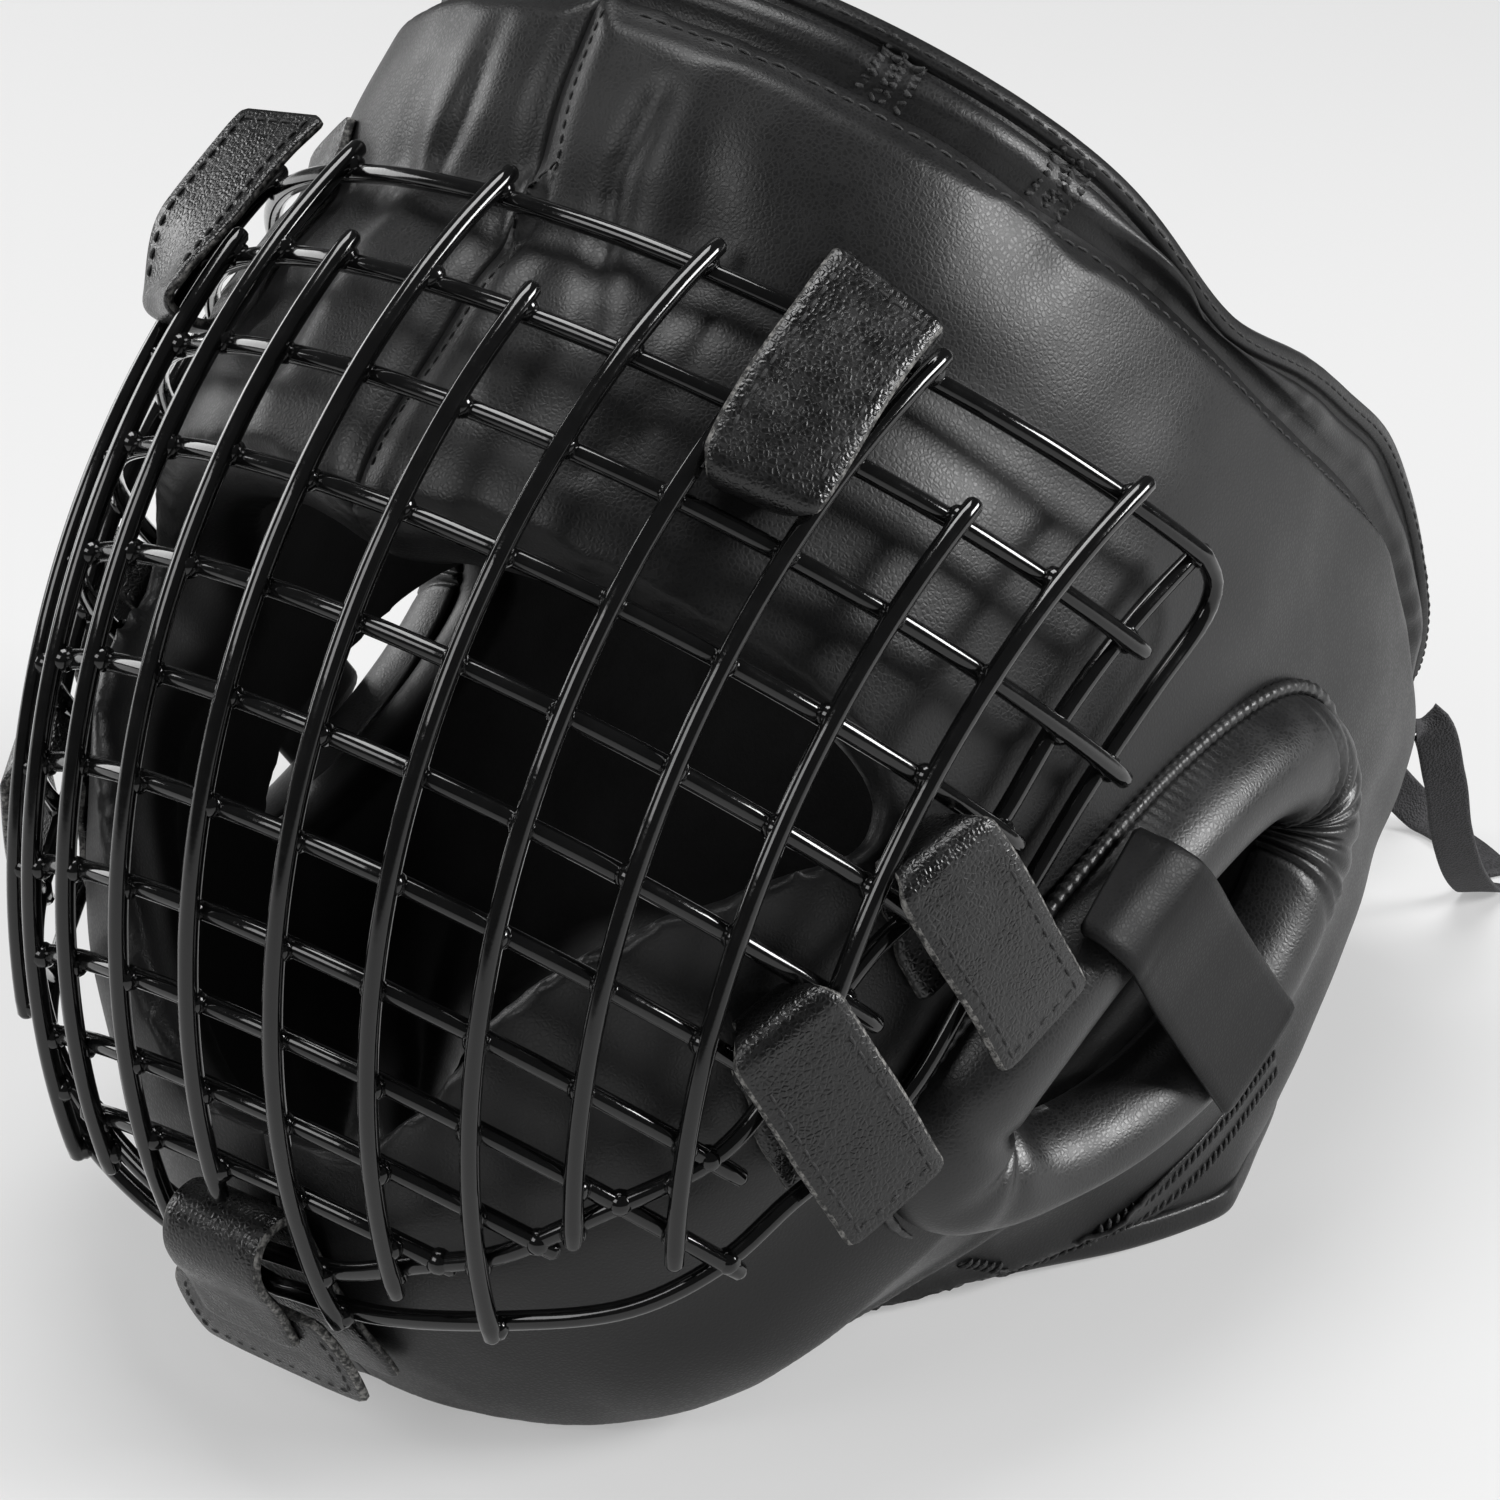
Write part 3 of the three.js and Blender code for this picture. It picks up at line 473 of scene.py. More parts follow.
# one stitch: place along it, size and lift of each ring
stitchRings = [(-1, 0.35, -0.9), (-0.8, 0.9, -0.1), (-0.3, 1, 0.45),
               (0.3, 1, 0.45), (0.8, 0.9, -0.1), (1, 0.35, -0.9)]
stitchSides = 6


# sewn thread: short bent stitches along a line of points with normals
def sew(heap, points, normals, look):
    far = lengths(points)
    count = max(1, int(far[-1] / look["pitch"]))
    at = (np.arange(count) + 0.5) * far[-1] / count

    def spaced(a):
        return np.stack([np.interp(at, far, a[:, k]) for k in range(3)], 1)

    middle, up = spaced(points), unit(spaced(normals))
    ahead = squared(spaced(np.gradient(points, axis=0)), up)
    side = np.cross(up, ahead)
    r, half, lift = look["thick"] / 2, look["long"] / 2, look.get("lift", 0)
    turn = math.radians(look.get("slant", 0))
    for m, u, a, s in zip(middle, up, ahead, side):
        way = a * math.cos(turn) + s * math.sin(turn)
        ring = circle(np.cross(u, way), u, stitchSides) * r
        heap.loft(laid(np.array([m + way * place * half + u * (rise * r + lift) + ring * size
                                 for place, size, rise in stitchRings])))


def onto(points, tree):  # worn points laid on a mesh, with the normals there
    found = [tree.find_nearest(Vector(q))[:2] for q in laid(points)]
    spots, ups = (worn(np.array(column)) for column in zip(*found))
    return spots, ups - worn(np.zeros(3))


def sewOn(heap, keys, tree, look, count):
    spots, ups = onto(smoothRun(keys, count), tree)
    sew(heap, spots, unit(ups), look)


borderStitch = {"pitch": 3.4, "long": 2.7, "thick": 0.75}
seamStitch = {"pitch": 3.6, "long": 3.0, "thick": 0.8}
threads = Heap()

# free lace ends, first of all
laceTails = {
    "width": 10, "thick": 1.2, "steps": 90, "lowest": 0.0011, "crown": 0.05,
    "long": [(26, 124, 124, 0.4), (52, 132, 132, 2.4)],
    "longFloor": [(75, 318, 61), (78, 324, 45), (77, 331, 28), (76, 341, 12), (75, 351, 3), (74, 358, 1)],
    "short": [(26, 100, 97, 3.2)],
    "shortFloor": [(33, 352, 50), (36, 366, 20), (46, 376, 3), (59, 372, 1), (73, 364, 1)],
}

# outer sections of the shell: height, half width, front, back
shellForm = {
    "mid": 150, "frontPower": 2.15, "backPower": 3, "pad": 19, "padBrow": 24, "padChin": 5, "band": 14,
    "bandInside": -9.8, "edgeHigh": 6, "edgeDrop": 3.2, "browFrom": (20, 30), "chinFrom": (30, 40),
    "tuckInside": 0.7,
    "sections": [
        (182, 96, 12, 308), (160, 100, 4, 314), (140, 104, 4, 316), (115, 109, 8, 317), (70, 112, 6, 317),
        (41, 112, 9, 316), (18, 110, 15, 312), (0, 106, 21, 306), (-28, 97, 37, 294), (-46, 88, 51, 282),
        (-65, 73, 71, 268), (-80, 56, 92, 250), (-91, 35, 116, 225), (-96, 12, 145, 195)],
    "rim": [
        (-40, 170), (0, 171), (40, 172), (90, 172), (130, 172), (165, 174.5), (192, 177), (215, 173),
        (250, 163), (300, 152), (380, 148)],
}
halfWidth = smoothTable(shellForm["sections"], 1)
frontEdge = smoothTable(shellForm["sections"], 2)
backEdge = smoothTable(shellForm["sections"], 3)
rimLine = smoothTable(shellForm["rim"], 1)

# dents and rolls of the leather: size, then place and half width each way
dents = {
    "seam": {"deep": 2.6, "wide": 4, "foot": 30, "fade": 25},
    "browRoll": {"high": 3.0, "z": 56, "tall": 14, "turn": 40},
    "forehead": [(-1.4, 38, 6, 105, 36, 0.15), (1.2, 28, 7, 112, 40, 0)],  # the last leans it
    "leanAt": 110,
    "underRim": {"deep": 2.2, "y": 52, "long": 9, "below": 5, "tall": 12},
    "flank": [(-3.2, 118, 16, -42, 22), (2.4, 142, 18, -62, 20), (-2.0, 246, 12, 60, 60)],
    "browPress": (4.7, 110, 11, 88), "cheekPress": (4.6, 96, 25, 20, 38),
    "tuck": {"deep": 26, "y": 199, "long": 30, "tall": 48, "power": 1.4, "clear": 40},
}
probe = {"turn": 0.01, "rise": 0.5, "column": 0.02, "ahead": 0.02}  # steps that measure a slope


def rimHeight(y):
    return np.interp(y, *rimLine)


def padTop(y):
    return rimHeight(y) - shellForm["band"]


def spans(z, front):
    mid = shellForm["mid"]
    span = np.where(front, mid - np.interp(z, *frontEdge), np.interp(z, *backEdge) - mid)
    return np.interp(z, *halfWidth), span, np.where(front, shellForm["frontPower"], shellForm["backPower"])


def section(angle, z):
    z = np.asarray(z, float)
    c, s = np.cos(angle), np.sin(angle)
    half, span, power = spans(z, c > 0)
    x = np.sign(s) * half * np.abs(s) ** (2 / power)
    y = shellForm["mid"] - np.sign(c) * span * np.abs(c) ** (2 / power)
    return np.stack([x, y, z + 0 * x], -1)


def sectionNormal(angle, z):
    turn, rise = probe["turn"], probe["rise"]
    around = section(angle + turn, z) - section(angle - turn, z)
    up = section(angle, z + rise) - section(angle, z - rise)
    return unit(np.cross(around, up))


def filled(p, front, room=0):  # below one inside the section, which can be taken in
    half, span, power = spans(p[..., 2], front)
    return ((np.abs(p[..., 0]) / (half + room)) ** power
            + (np.abs(p[..., 1] - shellForm["mid"]) / (span + room)) ** power)


def angleOf(p):
    front = p[..., 1] < shellForm["mid"]
    half, span, power = spans(p[..., 2], front)
    s = (np.abs(p[..., 0]) / half) ** (power / 2)
    c = (np.abs(p[..., 1] - shellForm["mid"]) / span) ** (power / 2)
    return np.arctan2(np.sign(p[..., 0]) * s, np.where(front, c, -c))


def press(p):  # where the grille and its straps bear on the leather
    deep, z, tall, wide = dents["browPress"]
    brow = deep * bell(p[..., 2] - z, tall) * bell(p[..., 0], wide)
    deep, y, long, z, tall = dents["cheekPress"]
    return brow + deep * bell(p[..., 1] - y, long) * bell(p[..., 2] - z, tall)


def tuck(p):  # the side folds in above the floor
    form = dents["tuck"]
    low = np.clip(1 - laid(p)[..., 2] * 1000 / form["tall"], 0, 1)
    side = np.minimum(1, np.abs(p[..., 0]) / form["clear"])
    return form["deep"] * bell(p[..., 1] - form["y"], form["long"]) * low ** form["power"] * side


def folds(angle, p):
    side, y, z = np.abs(p[..., 0]), p[..., 1], p[..., 2]
    front = np.where(y < shellForm["mid"], 1, 0)
    seam, roll, rim = dents["seam"], dents["browRoll"], dents["underRim"]
    d = -seam["deep"] * bell(side, seam["wide"]) * front * np.clip((z - seam["foot"]) / seam["fade"], 0, 1)
    d = d + roll["high"] * bell(z - roll["z"], roll["tall"]) * bell(np.degrees(angle), roll["turn"]) * front
    for size, x, wide, at, tall, lean in dents["forehead"]:
        d = d + size * bell(side - x + lean * (z - dents["leanAt"]), wide) * bell(z - at, tall) * front
    d = d - rim["deep"] * bell(y - rim["y"], rim["long"]) * bell(z - padTop(y) + rim["below"], rim["tall"])
    for size, at, long, high, tall in dents["flank"]:
        d = d + size * bell(y - at, long) * bell(z - high, tall)
    return d - tuck(p) - press(p)


def leather(angle, z):
    p, n, high = section(angle, z), sectionNormal(angle, z), shellForm["edgeHigh"]
    above = np.clip((z - padTop(p[..., 1]) + high) / high, 0, 1)
    return p + n * (folds(angle, p) - shellForm["edgeDrop"] * above**2)[..., None]


def lining(angle, z):
    p, n, form = section(angle, z), sectionNormal(angle, z), shellForm
    (browLow, browOver), (chinLow, chinOver) = form["browFrom"], form["chinFrom"]
    brow = np.maximum(0, np.cos(angle)) * np.clip((z - browLow) / browOver, 0, 1)
    chin = np.clip((-z - chinLow) / chinOver, 0, 1)
    inward = form["pad"] + (form["padBrow"] - form["pad"]) * brow - form["padChin"] * chin
    return p - n * (inward + form["tuckInside"] * tuck(p))[..., None]


def backY(x, z):
    half, span, power = spans(np.asarray(z, float), False)
    return shellForm["mid"] + span * (1 - (np.abs(x) / half) ** power) ** (1 / power)


def sideX(y, z):
    half, span, power = spans(np.asarray(z, float), np.asarray(y, float) < shellForm["mid"])
    return half * (1 - np.minimum(1, np.abs(y - shellForm["mid"]) / span) ** power) ** (1 / power)


def laceKeys(starts, floorPoints, ways):
    keys = [[x, float(backY(x, at)) + proud, z] for x, at, z, proud in starts]
    keys += [list(fromFloor(*p)) for p in floorPoints]
    return [[*k, *w, laceTails["width"]] for k, w in zip(keys, ways)]


def level(x, y):
    return list(fromFloor(x, y, 0) - fromFloor(0, 0, 0))


def laceTail(name, keys):
    run = smoothRun(keys, laceTails["steps"])
    low = laid(run[:, :3])
    low[:, 2] = np.maximum(low[:, 2], laceTails["lowest"])
    run[:, :3] = worn(low)
    heap = Heap()
    ribbon(heap, run, laceTails["thick"], laceTails["crown"], kinds=(0, 0))
    obj = heap.piece(name + "_tape", [laceWeave])
    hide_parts(name)


upward, facing = [0, 0, 1], level(0.79, 0.61)
laceTail("lace_tail_long", laceKeys(laceTails["long"], laceTails["longFloor"],
                                    [upward, [0, 0.2, 1]] + [facing] * 6))
laceTail("lace_tail_short", laceKeys(
    laceTails["short"], laceTails["shortFloor"],
    [upward, level(-0.7, 0.3), level(-0.7, -0.6), level(-0.6, -0.8)] + [level(-0.45, -0.85)] * 2))

# wire grille
cageForm = {
    "radius": 150, "depth": 141, "rise": 51, "width": 113, "flare": 0.1, "nose": 138, "column": 10.5,
    "pitch": 21.5, "layer": 3.25, "wire": 4.0, "sides": 14, "step": 2.6, "top": 111, "topEnd": 6.9,
    "deepest": -60.0, "halvings": 30, "cap": [(-0.98, 0.28), (-0.75, 0.7), (-0.35, 0.94)],
    "samples": {"top": 40, "frame": 120, "inner": 110, "row": 50, "upright": 60},
    "weld": {"size": 2.75, "reach": 2.7, "gap": 0.75, "apart": 14, "sides": 10, "least": 0.02, "flare": 0.1,
             "aside": (0.31, 0.2, 0.93), "rings": (-1, -0.82, -0.45, 0, 0.45, 0.82, 1)},
    "frame": [
        (7.0, 111, 1), (7.35, 108.5, 1.5), (7.6, 102, 2), (7.68, 84, 2), (7.7, 63, 2), (7.65, 40, 1.8),
        (7.5, 16, 1.6), (7.3, -4, 1.6), (6.9, -20, 1.7), (6.27, -36, 1.7), (5.57, -52, 1.2),
        (4.6, -67, 1), (3.2, -79.5, 1), (1.5, -89, 1), (0, -92, 1)],
    "inner": [
        (7.0, 111, 1.8), (7.0, 88, 2), (7.0, 66, 2), (7.0, 43, 2), (6.75, 27, 2), (6.4, 12, 2), (6.2, 0, 2),
        (5.95, -14, 1.8), (5.67, -27, 1.4), (5.28, -37.5, 1), (4.2, -56, 1), (3.2, -70, 1), (2.25, -78, 1),
        (1.2, -85, 1), (0, -87.5, 1)],
    "rows": [
        (88, 7.15), (66, 7.85), (43, 7.15), (21, 7.6), (0, 6.55), (-19, 6.95), (-37, 5.6), (-52, 5.7),
        (-65, 3.75), (-76, 2.6)],
    "uprights": [
        (0, 114, -79), (1, 91, -90.5), (2, 114, -81.5), (3, 91, -81), (4, 114, -60), (5, 91, -55),
        (6, 114, -3)],
}


def arcOf(z):
    c = cageForm
    return c["radius"] * np.arcsin(np.clip((np.asarray(z, float) - c["rise"]) / c["radius"], -1, 1))


def cagePoint(column, arc):
    c = cageForm
    z = c["rise"] + c["radius"] * np.sin(arc / c["radius"])
    nose = c["depth"] - c["radius"] * np.cos(arc / c["radius"])
    t = np.radians(column * c["column"])
    x = (c["width"] + c["flare"] * z) * np.sin(t)
    return np.stack([x, nose + c["nose"] * (1 - np.cos(t)), z + 0 * t], -1)


def cage(column, arc, out):
    column, arc, out = np.broadcast_arrays(*(np.asarray(v, float) for v in (column, arc, out)))
    side, rise = probe["column"], probe["rise"]
    across = cagePoint(column + side, arc) - cagePoint(column - side, arc)
    up = cagePoint(column, arc + rise) - cagePoint(column, arc - rise)
    return cagePoint(column, arc) + unit(np.cross(across, up)) * out[..., None]


def wholeRow(half):  # from the middle out, made whole
    return np.concatenate([handed(half[:0:-1], -1), half])


def frameWire(table, count):
    keys = [(c * cageForm["pitch"], z, layer) for c, z, layer in table]
    run = smoothRun(keys, count)
    return cage(run[:, 0] / cageForm["pitch"], arcOf(run[:, 1]), -run[:, 2] * cageForm["layer"])


def wireTube(heap, path, radius, sides):
    path = smoothRun(path, max(4, int(lengths(path)[-1] / cageForm["step"])))
    along = unit(np.gradient(path, axis=0))
    side = squared(path - np.array([0, cageForm["depth"], cageForm["rise"]]), along)
    other = np.cross(along, side)
    cap = cageForm["cap"]  # rounded wire ends
    rows = [(path[0] + along[0] * radius * d, side[0], other[0], s) for d, s in cap]
    rows += [(p, a, b, 1.0) for p, a, b in zip(path[1:-1], side[1:-1], other[1:-1])]
    rows += [(path[-1] - along[-1] * radius * d, side[-1], other[-1], s) for d, s in cap[::-1]]
    heap.loft(laid(np.array([p + circle(a, b, sides) * radius * s for p, a, b, s in rows])))
    return path


def grillePiece():
    form, heap, wires = cageForm, Heap(), []
    samples, weld = form["samples"], form["weld"]
    topRow = cage(np.linspace(0, form["topEnd"], samples["top"]), arcOf(form["top"]), -form["layer"])
    frameHalf = np.concatenate([topRow, frameWire(form["frame"], samples["frame"])])
    wires.append(np.concatenate([frameHalf, handed(frameHalf[::-1], -1)[1:]]))
    wires.append(wholeRow(frameWire(form["inner"], samples["inner"])[::-1]))
    for z, end in form["rows"]:
        wires.append(wholeRow(cage(np.linspace(0, end, samples["row"]), arcOf(z), -form["layer"])))
    for column, top, bottom in form["uprights"]:
        path = cage(column, np.linspace(arcOf(top), arcOf(bottom), samples["upright"]), 0)
        wires.append(path)
        if column:
            wires.append(handed(path, -1))
    paths = [wireTube(heap, w, form["wire"] / 2, form["sides"]) for w in wires]
    spots = []
    for i, a in enumerate(paths):  # weld fillets where two wires touch
        for b in paths[i + 1:]:
            gap = np.linalg.norm(a[:, None] - b[None], axis=-1)
            while gap.min() < form["layer"] + weld["gap"]:
                m, n = np.unravel_index(gap.argmin(), gap.shape)
                spots.append((a[m], b[n]))
                gap[np.linalg.norm(a - a[m], axis=1) < weld["apart"]] = np.inf
    for a, b in spots:
        axis = unit(b - a)
        side = unit(np.cross(axis, weld["aside"]))
        ring = circle(side, np.cross(axis, side), weld["sides"])
        rings = []
        for t in weld["rings"]:
            size = weld["size"] * math.sqrt(max(weld["least"], 1 - t * t)) * (1 + weld["flare"] * t * t)
            rings.append((a + b) / 2 + axis * t * weld["reach"] + ring * size)
        heap.loft(laid(np.array(rings)))
    obj = heap.piece("grille_wire", [grilleCoat])
    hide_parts("grille")
    print("grille", len(wires), "wires", len(spots), "welds")


grillePiece()


# depth of the leather under a place on the cage
def leatherUnder(column, arc):
    low, high = cageForm["deepest"], 0.0
    for _ in range(cageForm["halvings"]):
        out = (low + high) / 2
        p = cage(column, arc, out + press(cage(column, arc, out)))
        low, high = (out, high) if filled(p, True) < 1 else (low, out)
    return high


# straps that fold round a wire and close on themselves
straps = {
    "width": 25, "thick": 2.0, "crown": 0.3, "steps": 150, "over": 0.9, "wavy": (0.35, 19, 6), "seed": 11,
    "sewn": slice(92, 148), "hem": 145, "border": {"inset": 3.2, "up": 1.08, "count": 20},
    "turned": (80, 112), "standOff": 6, "across": 6,
    "bend": {  # round the wire: along the strap, then the offset from the cage or a share of it
        "start": 7, "runs": 4, "narrow": 4, "halfOut": 4.3, "foot": 2.5, "inner": [(-0.6, 0.75), (-2.2, 0.2)],
        "outer": [(-2.6, 2.6, 5), (-1.0, 4.2, 1), (2.5, 4.5, 0)],
        "flapOut": 4.6, "flap": [(0.4, 0.3), (0.8, 0.8), (1, 1)]},
    "temple": {"fold": (3.5, 75), "end": (3.3, 121), "flap": 46, "root": 52, "neck": 15, "inside": -7.8,
               "tail": 1, "twist": -0.42},
    "cheek_upper": {"fold": (6.36, 31.6), "end": (7.85, 17), "flap": 36, "root": 27, "neck": 15,
                    "inside": -10.6, "tail": 3},
    "cheek_lower": {"fold": (5.6, -9.5), "end": (6.95, -25.5), "flap": 34, "root": 32, "neck": 12.5,
                    "inside": -10.6, "tail": 3},
}
headMiddle = np.array([0, 150, 40])


def outward(normals, p):  # turned away from the head, judged at the last point
    return normals * np.sign(np.sum(normals[-1] * (p[-1] - headMiddle)))


def sewBorder(p, wide, face, widths, rows, hem, look):  # both edges, then the end
    for edge in (-1, 1):
        line = p[rows] + wide[rows] * edge * (widths[rows] / 2 - look["inset"])[:, None]
        sew(threads, line + face[rows] * look["up"], face[rows], borderStitch)
    count = look["count"]
    last = p[hem] + wide[hem] * np.linspace(-1, 1, count)[:, None] * (look["width"] / 2 - look["inset"])
    sew(threads, last + face[hem] * look["up"], np.repeat(face[hem][None], count, 0), borderStitch)


def cageStrap(name, form, seed):
    pitch, width, thick, steps = cageForm["pitch"], straps["width"], straps["thick"], straps["steps"]
    (foldC, foldZ), (endC, endZ) = form["fold"], form["end"]
    across, down = (endC - foldC) * pitch, float(arcOf(endZ) - arcOf(foldZ))
    ca, sa = across / math.hypot(across, down), down / math.hypot(across, down)

    def at(a, b, out):
        return cage(foldC + (a * ca - b * sa) / pitch, arcOf(foldZ) + a * sa + b * ca, out)

    def ground(a):
        under = leatherUnder(foldC + a * ca / pitch, arcOf(foldZ) + a * sa)
        return under + thick / 2 + straps["over"]

    inside, flap, neck, bend = form["inside"], form["flap"], form["neck"], straps["bend"]
    line = []
    for i in range(bend["runs"] + 1):
        a = form["root"] + (bend["start"] - form["root"]) * i / bend["runs"]
        out = ground(a) if i < 2 else max(ground(a), inside)
        line.append((a, out, width if i < 3 else width - bend["narrow"]))
    mid, reach = (inside + bend["halfOut"]) / 2, (bend["halfOut"] - inside) / 2
    line.append((bend["foot"], max(inside, ground(bend["foot"])), neck))
    line += [(a, mid - share * reach, neck) for a, share in bend["inner"]]
    line += [(a, out, width - less) for a, out, less in bend["outer"]]
    line += [(flap * a, bend["flapOut"] + form["tail"] * share, width) for a, share in bend["flap"]]
    half = straps["across"]
    keys = [[*at(a, 0, out), *unit(at(a, half, out) - at(a, -half, out)), wide] for a, out, wide in line]
    run = smoothRun(keys, steps)
    rng = np.random.default_rng(seed)
    wave, turns, start = straps["wavy"]
    run[:, 6] += wave * np.sin(np.linspace(0, turns, steps) + rng.uniform(0, start))
    border = {**straps["border"], "width": width}
    for side, flip in hands:
        heap, hand = Heap(), run.copy()
        hand[:, [0, 3]] *= flip
        if flip < 0:  # one flap stands a little off the cage
            turn = form.get("twist", 0) * ramp(np.arange(float(steps)), *straps["turned"])[:, None]
            lift = unit(np.cross(np.gradient(hand[:, :3], axis=0), hand[:, 3:6]))
            lift = outward(lift, hand[:, :3])
            hand[:, 3:6] = hand[:, 3:6] * np.cos(turn) + lift * np.sin(turn)
            hand[:, :3] += lift * np.abs(turn) * straps["standOff"]
        p, wide, face, widths = ribbon(heap, hand, thick, straps["crown"])
        sewBorder(p, wide, outward(face, p), widths, straps["sewn"], straps["hem"], border)
        obj = heap.piece(f"strap_{name}_{side}_leather", [strapLeather, cutEdge])
        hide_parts(f"strap_{name}_{side}")


for index, strapName in enumerate(("temple", "cheek_upper", "cheek_lower")):
    cageStrap(strapName, straps[strapName], straps["seed"] + index)

chinLines = {  # arc down the cage, offset (none lies on the leather), width
    "loop": [
        (-214, None, 40), (-206, None, 40), (-198, None, 34), (-188, -7.6, 25), (-176, -7.6, 25),
        (-167, -6.8, 25), (-163.4, -4, 25), (-162.4, -0.8, 25), (-163, 2.8, 25), (-165.5, 5.4, 25),
        (-169, 6.8, 25), (-174, 6.7, 25), (-179, 5.6, 25), (-185, 5.4, 25), (-191, 5.8, 25)],
    "tab": [(-184, 3.0, 38), (-190, 3.4, 44), (-197, 4.0, 46), (-203, 4.6, 45), (-207, 5.0, 43)],
    "steps": 130, "over": 2, "crown": 0.4, "sewn": slice(20, 112), "hem": 112,
    "border": {"inset": 3.4, "up": 1, "count": 30},
}


def chinStrap():
    heap, form = Heap(), chinLines
    for part in ("loop", "tab"):
        keys = []
        for arc, out, width in form[part]:
            on = leatherUnder(0.0, arc) + form["over"] if out is None else out
            keys.append([*cage(0.0, arc, on), 1, 0, 0, width])
        p, wide, face, widths = ribbon(heap, smoothRun(keys, form["steps"]), straps["thick"], form["crown"])
    hem = form["hem"]  # the border is sewn on the tab
    border = {**form["border"], "width": widths[hem]}
    sewBorder(p, wide, outward(face, p), widths, form["sewn"], hem, border)
    obj = heap.piece("strap_chin_leather", [strapLeather, cutEdge])
    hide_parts("strap_chin")


chinStrap()
print("straps made")


# a copy of a holder's mesh after its modifiers; the holder goes
def taken(holder):
    made = bpy.data.meshes.new_from_object(holder.evaluated_get(bpy.context.evaluated_depsgraph_get()))
    bpy.data.objects.remove(holder)
    return made


def held(mesh, kind):  # a holder with one modifier
    holder = bpy.data.objects.new("holder", mesh)
    bpy.context.collection.objects.link(holder)
    return holder, holder.modifiers.new(kind.lower(), kind)


def fineCopy(mesh, voxel):
    holder, remesh = held(mesh, "REMESH")
    remesh.mode, remesh.voxel_size = "VOXEL", voxel
    return taken(holder)


def subdivided(mesh):
    holder, divide = held(mesh, "SUBSURF")
    divide.levels = divide.render_levels = 1
    return taken(holder)


def relax(mesh, rounds):  # each point moves half way to its neighbours' mean
    p = pointsOf(mesh)
    edges = np.empty(len(mesh.edges) * 2, np.int32)
    mesh.edges.foreach_get("vertices", edges)
    a, b = edges.reshape(-1, 2).T
    both, other = np.concatenate([a, b]), np.concatenate([b, a])
    count = np.maximum(np.bincount(both, minlength=len(p)), 1)
    for _ in range(rounds):
        mean = np.stack([np.bincount(both, p[other, k], len(p)) / count for k in range(3)], 1)
        p = p + (mean - p) * 0.5
    setPoints(mesh, p)


def lineDistance(p, keys, count=60):  # to a smooth line through the keys
    line = smoothRun(keys, count)
    best = np.full(len(p), 1e9)
    for a in line:
        best = np.minimum(best, np.sum((p - a) ** 2, -1))
    return np.sqrt(best)


shellDetail = {
    "voxel": 0.0032, "rounds": 16, "lined": (4, 9), "hold": (1.6, 3.4), "seamGap": 0.0004, "joined": 2e-5,
    "cut": 0.00002, "sag": 0.034, "places": 90, "middle": 0.02, "mostGap": 0.02,
    "corner": {"out": 0.0045, "y": 0.038, "long": 0.013, "tall": 0.014, "beyond": (0.08, 0.095)},
    "under": {"spread": 11, "z": (0.002, 0.02), "y": 0.025, "long": 0.05},
    "swells": [(0.45, 60, 3), (0.15, 24, 4)],
    "pucker": {"high": 0.3, "below": 3, "tall": 5, "from": (20, 60), "pitch": 1.9, "wander": 2.6,
               "drift": (30, 5), "fade": (40, 6)},
    "lip": (0.2, 2.4, 1.4),
    "creases": [  # worn key points, depth, half width
        ([(22, 8, 138), (21, 9, 129), (19, 11, 121), (22, 14, 106), (29, 11, 91)], 1.5, 2.4),
        ([(-19, 8, 144), (-20, 9, 128), (-24, 13, 116)], 1.3, 2.3),
        ([(12, 8, 100), (13, 8, 86), (17, 8, 70)], 0.9, 3.0),
        ([(-33, 12, 100), (-36, 12, 84), (-34, 10, 66)], 1.0, 3.2),
        ([(44, 14, 104), (46, 14, 88), (42, 12, 66)], 1.0, 3.4)],
}


def shellMesh():
    bm = bmesh.new()
    bm.from_mesh(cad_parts["shell_left"].data)
    for v in bm.verts:
        if v.co.x < shellDetail["seamGap"]:
            v.co.x = 0
    flat = [f for f in bm.faces if all(v.co.x == 0 for v in f.verts)]
    bmesh.ops.delete(bm, geom=flat, context="FACES")
    both = bm.verts[:] + bm.edges[:] + bm.faces[:]
    bmesh.ops.mirror(bm, geom=both, merge_dist=0.0, axis="X")
    bmesh.ops.remove_doubles(bm, verts=bm.verts[:], dist=shellDetail["joined"])
    bmesh.ops.recalc_face_normals(bm, faces=bm.faces[:])
    whole = bpy.data.meshes.new("shell_whole")
    bm.to_mesh(whole)
    bm.free()
    return fineCopy(whole, shellDetail["voxel"])


def refit(p):  # onto the smooth leather and lining, away from cut edges
    angle = angleOf(p)
    n = sectionNormal(angle, p[:, 2])
    out = np.sum((leather(angle, p[:, 2]) - p) * n, -1)
    inner = np.sum((lining(angle, p[:, 2]) - p) * n, -1)
    outShare, inShare = (1 - ramp(np.abs(d), *shellDetail["hold"]) for d in (out, inner))
    onLeather = np.abs(out) < np.abs(inner)
    move = np.where(onLeather, out * outShare, inner * inShare)
    return p + n * move[:, None], n, np.where(onLeather, outShare, 0), np.where(onLeather, 0, inShare)


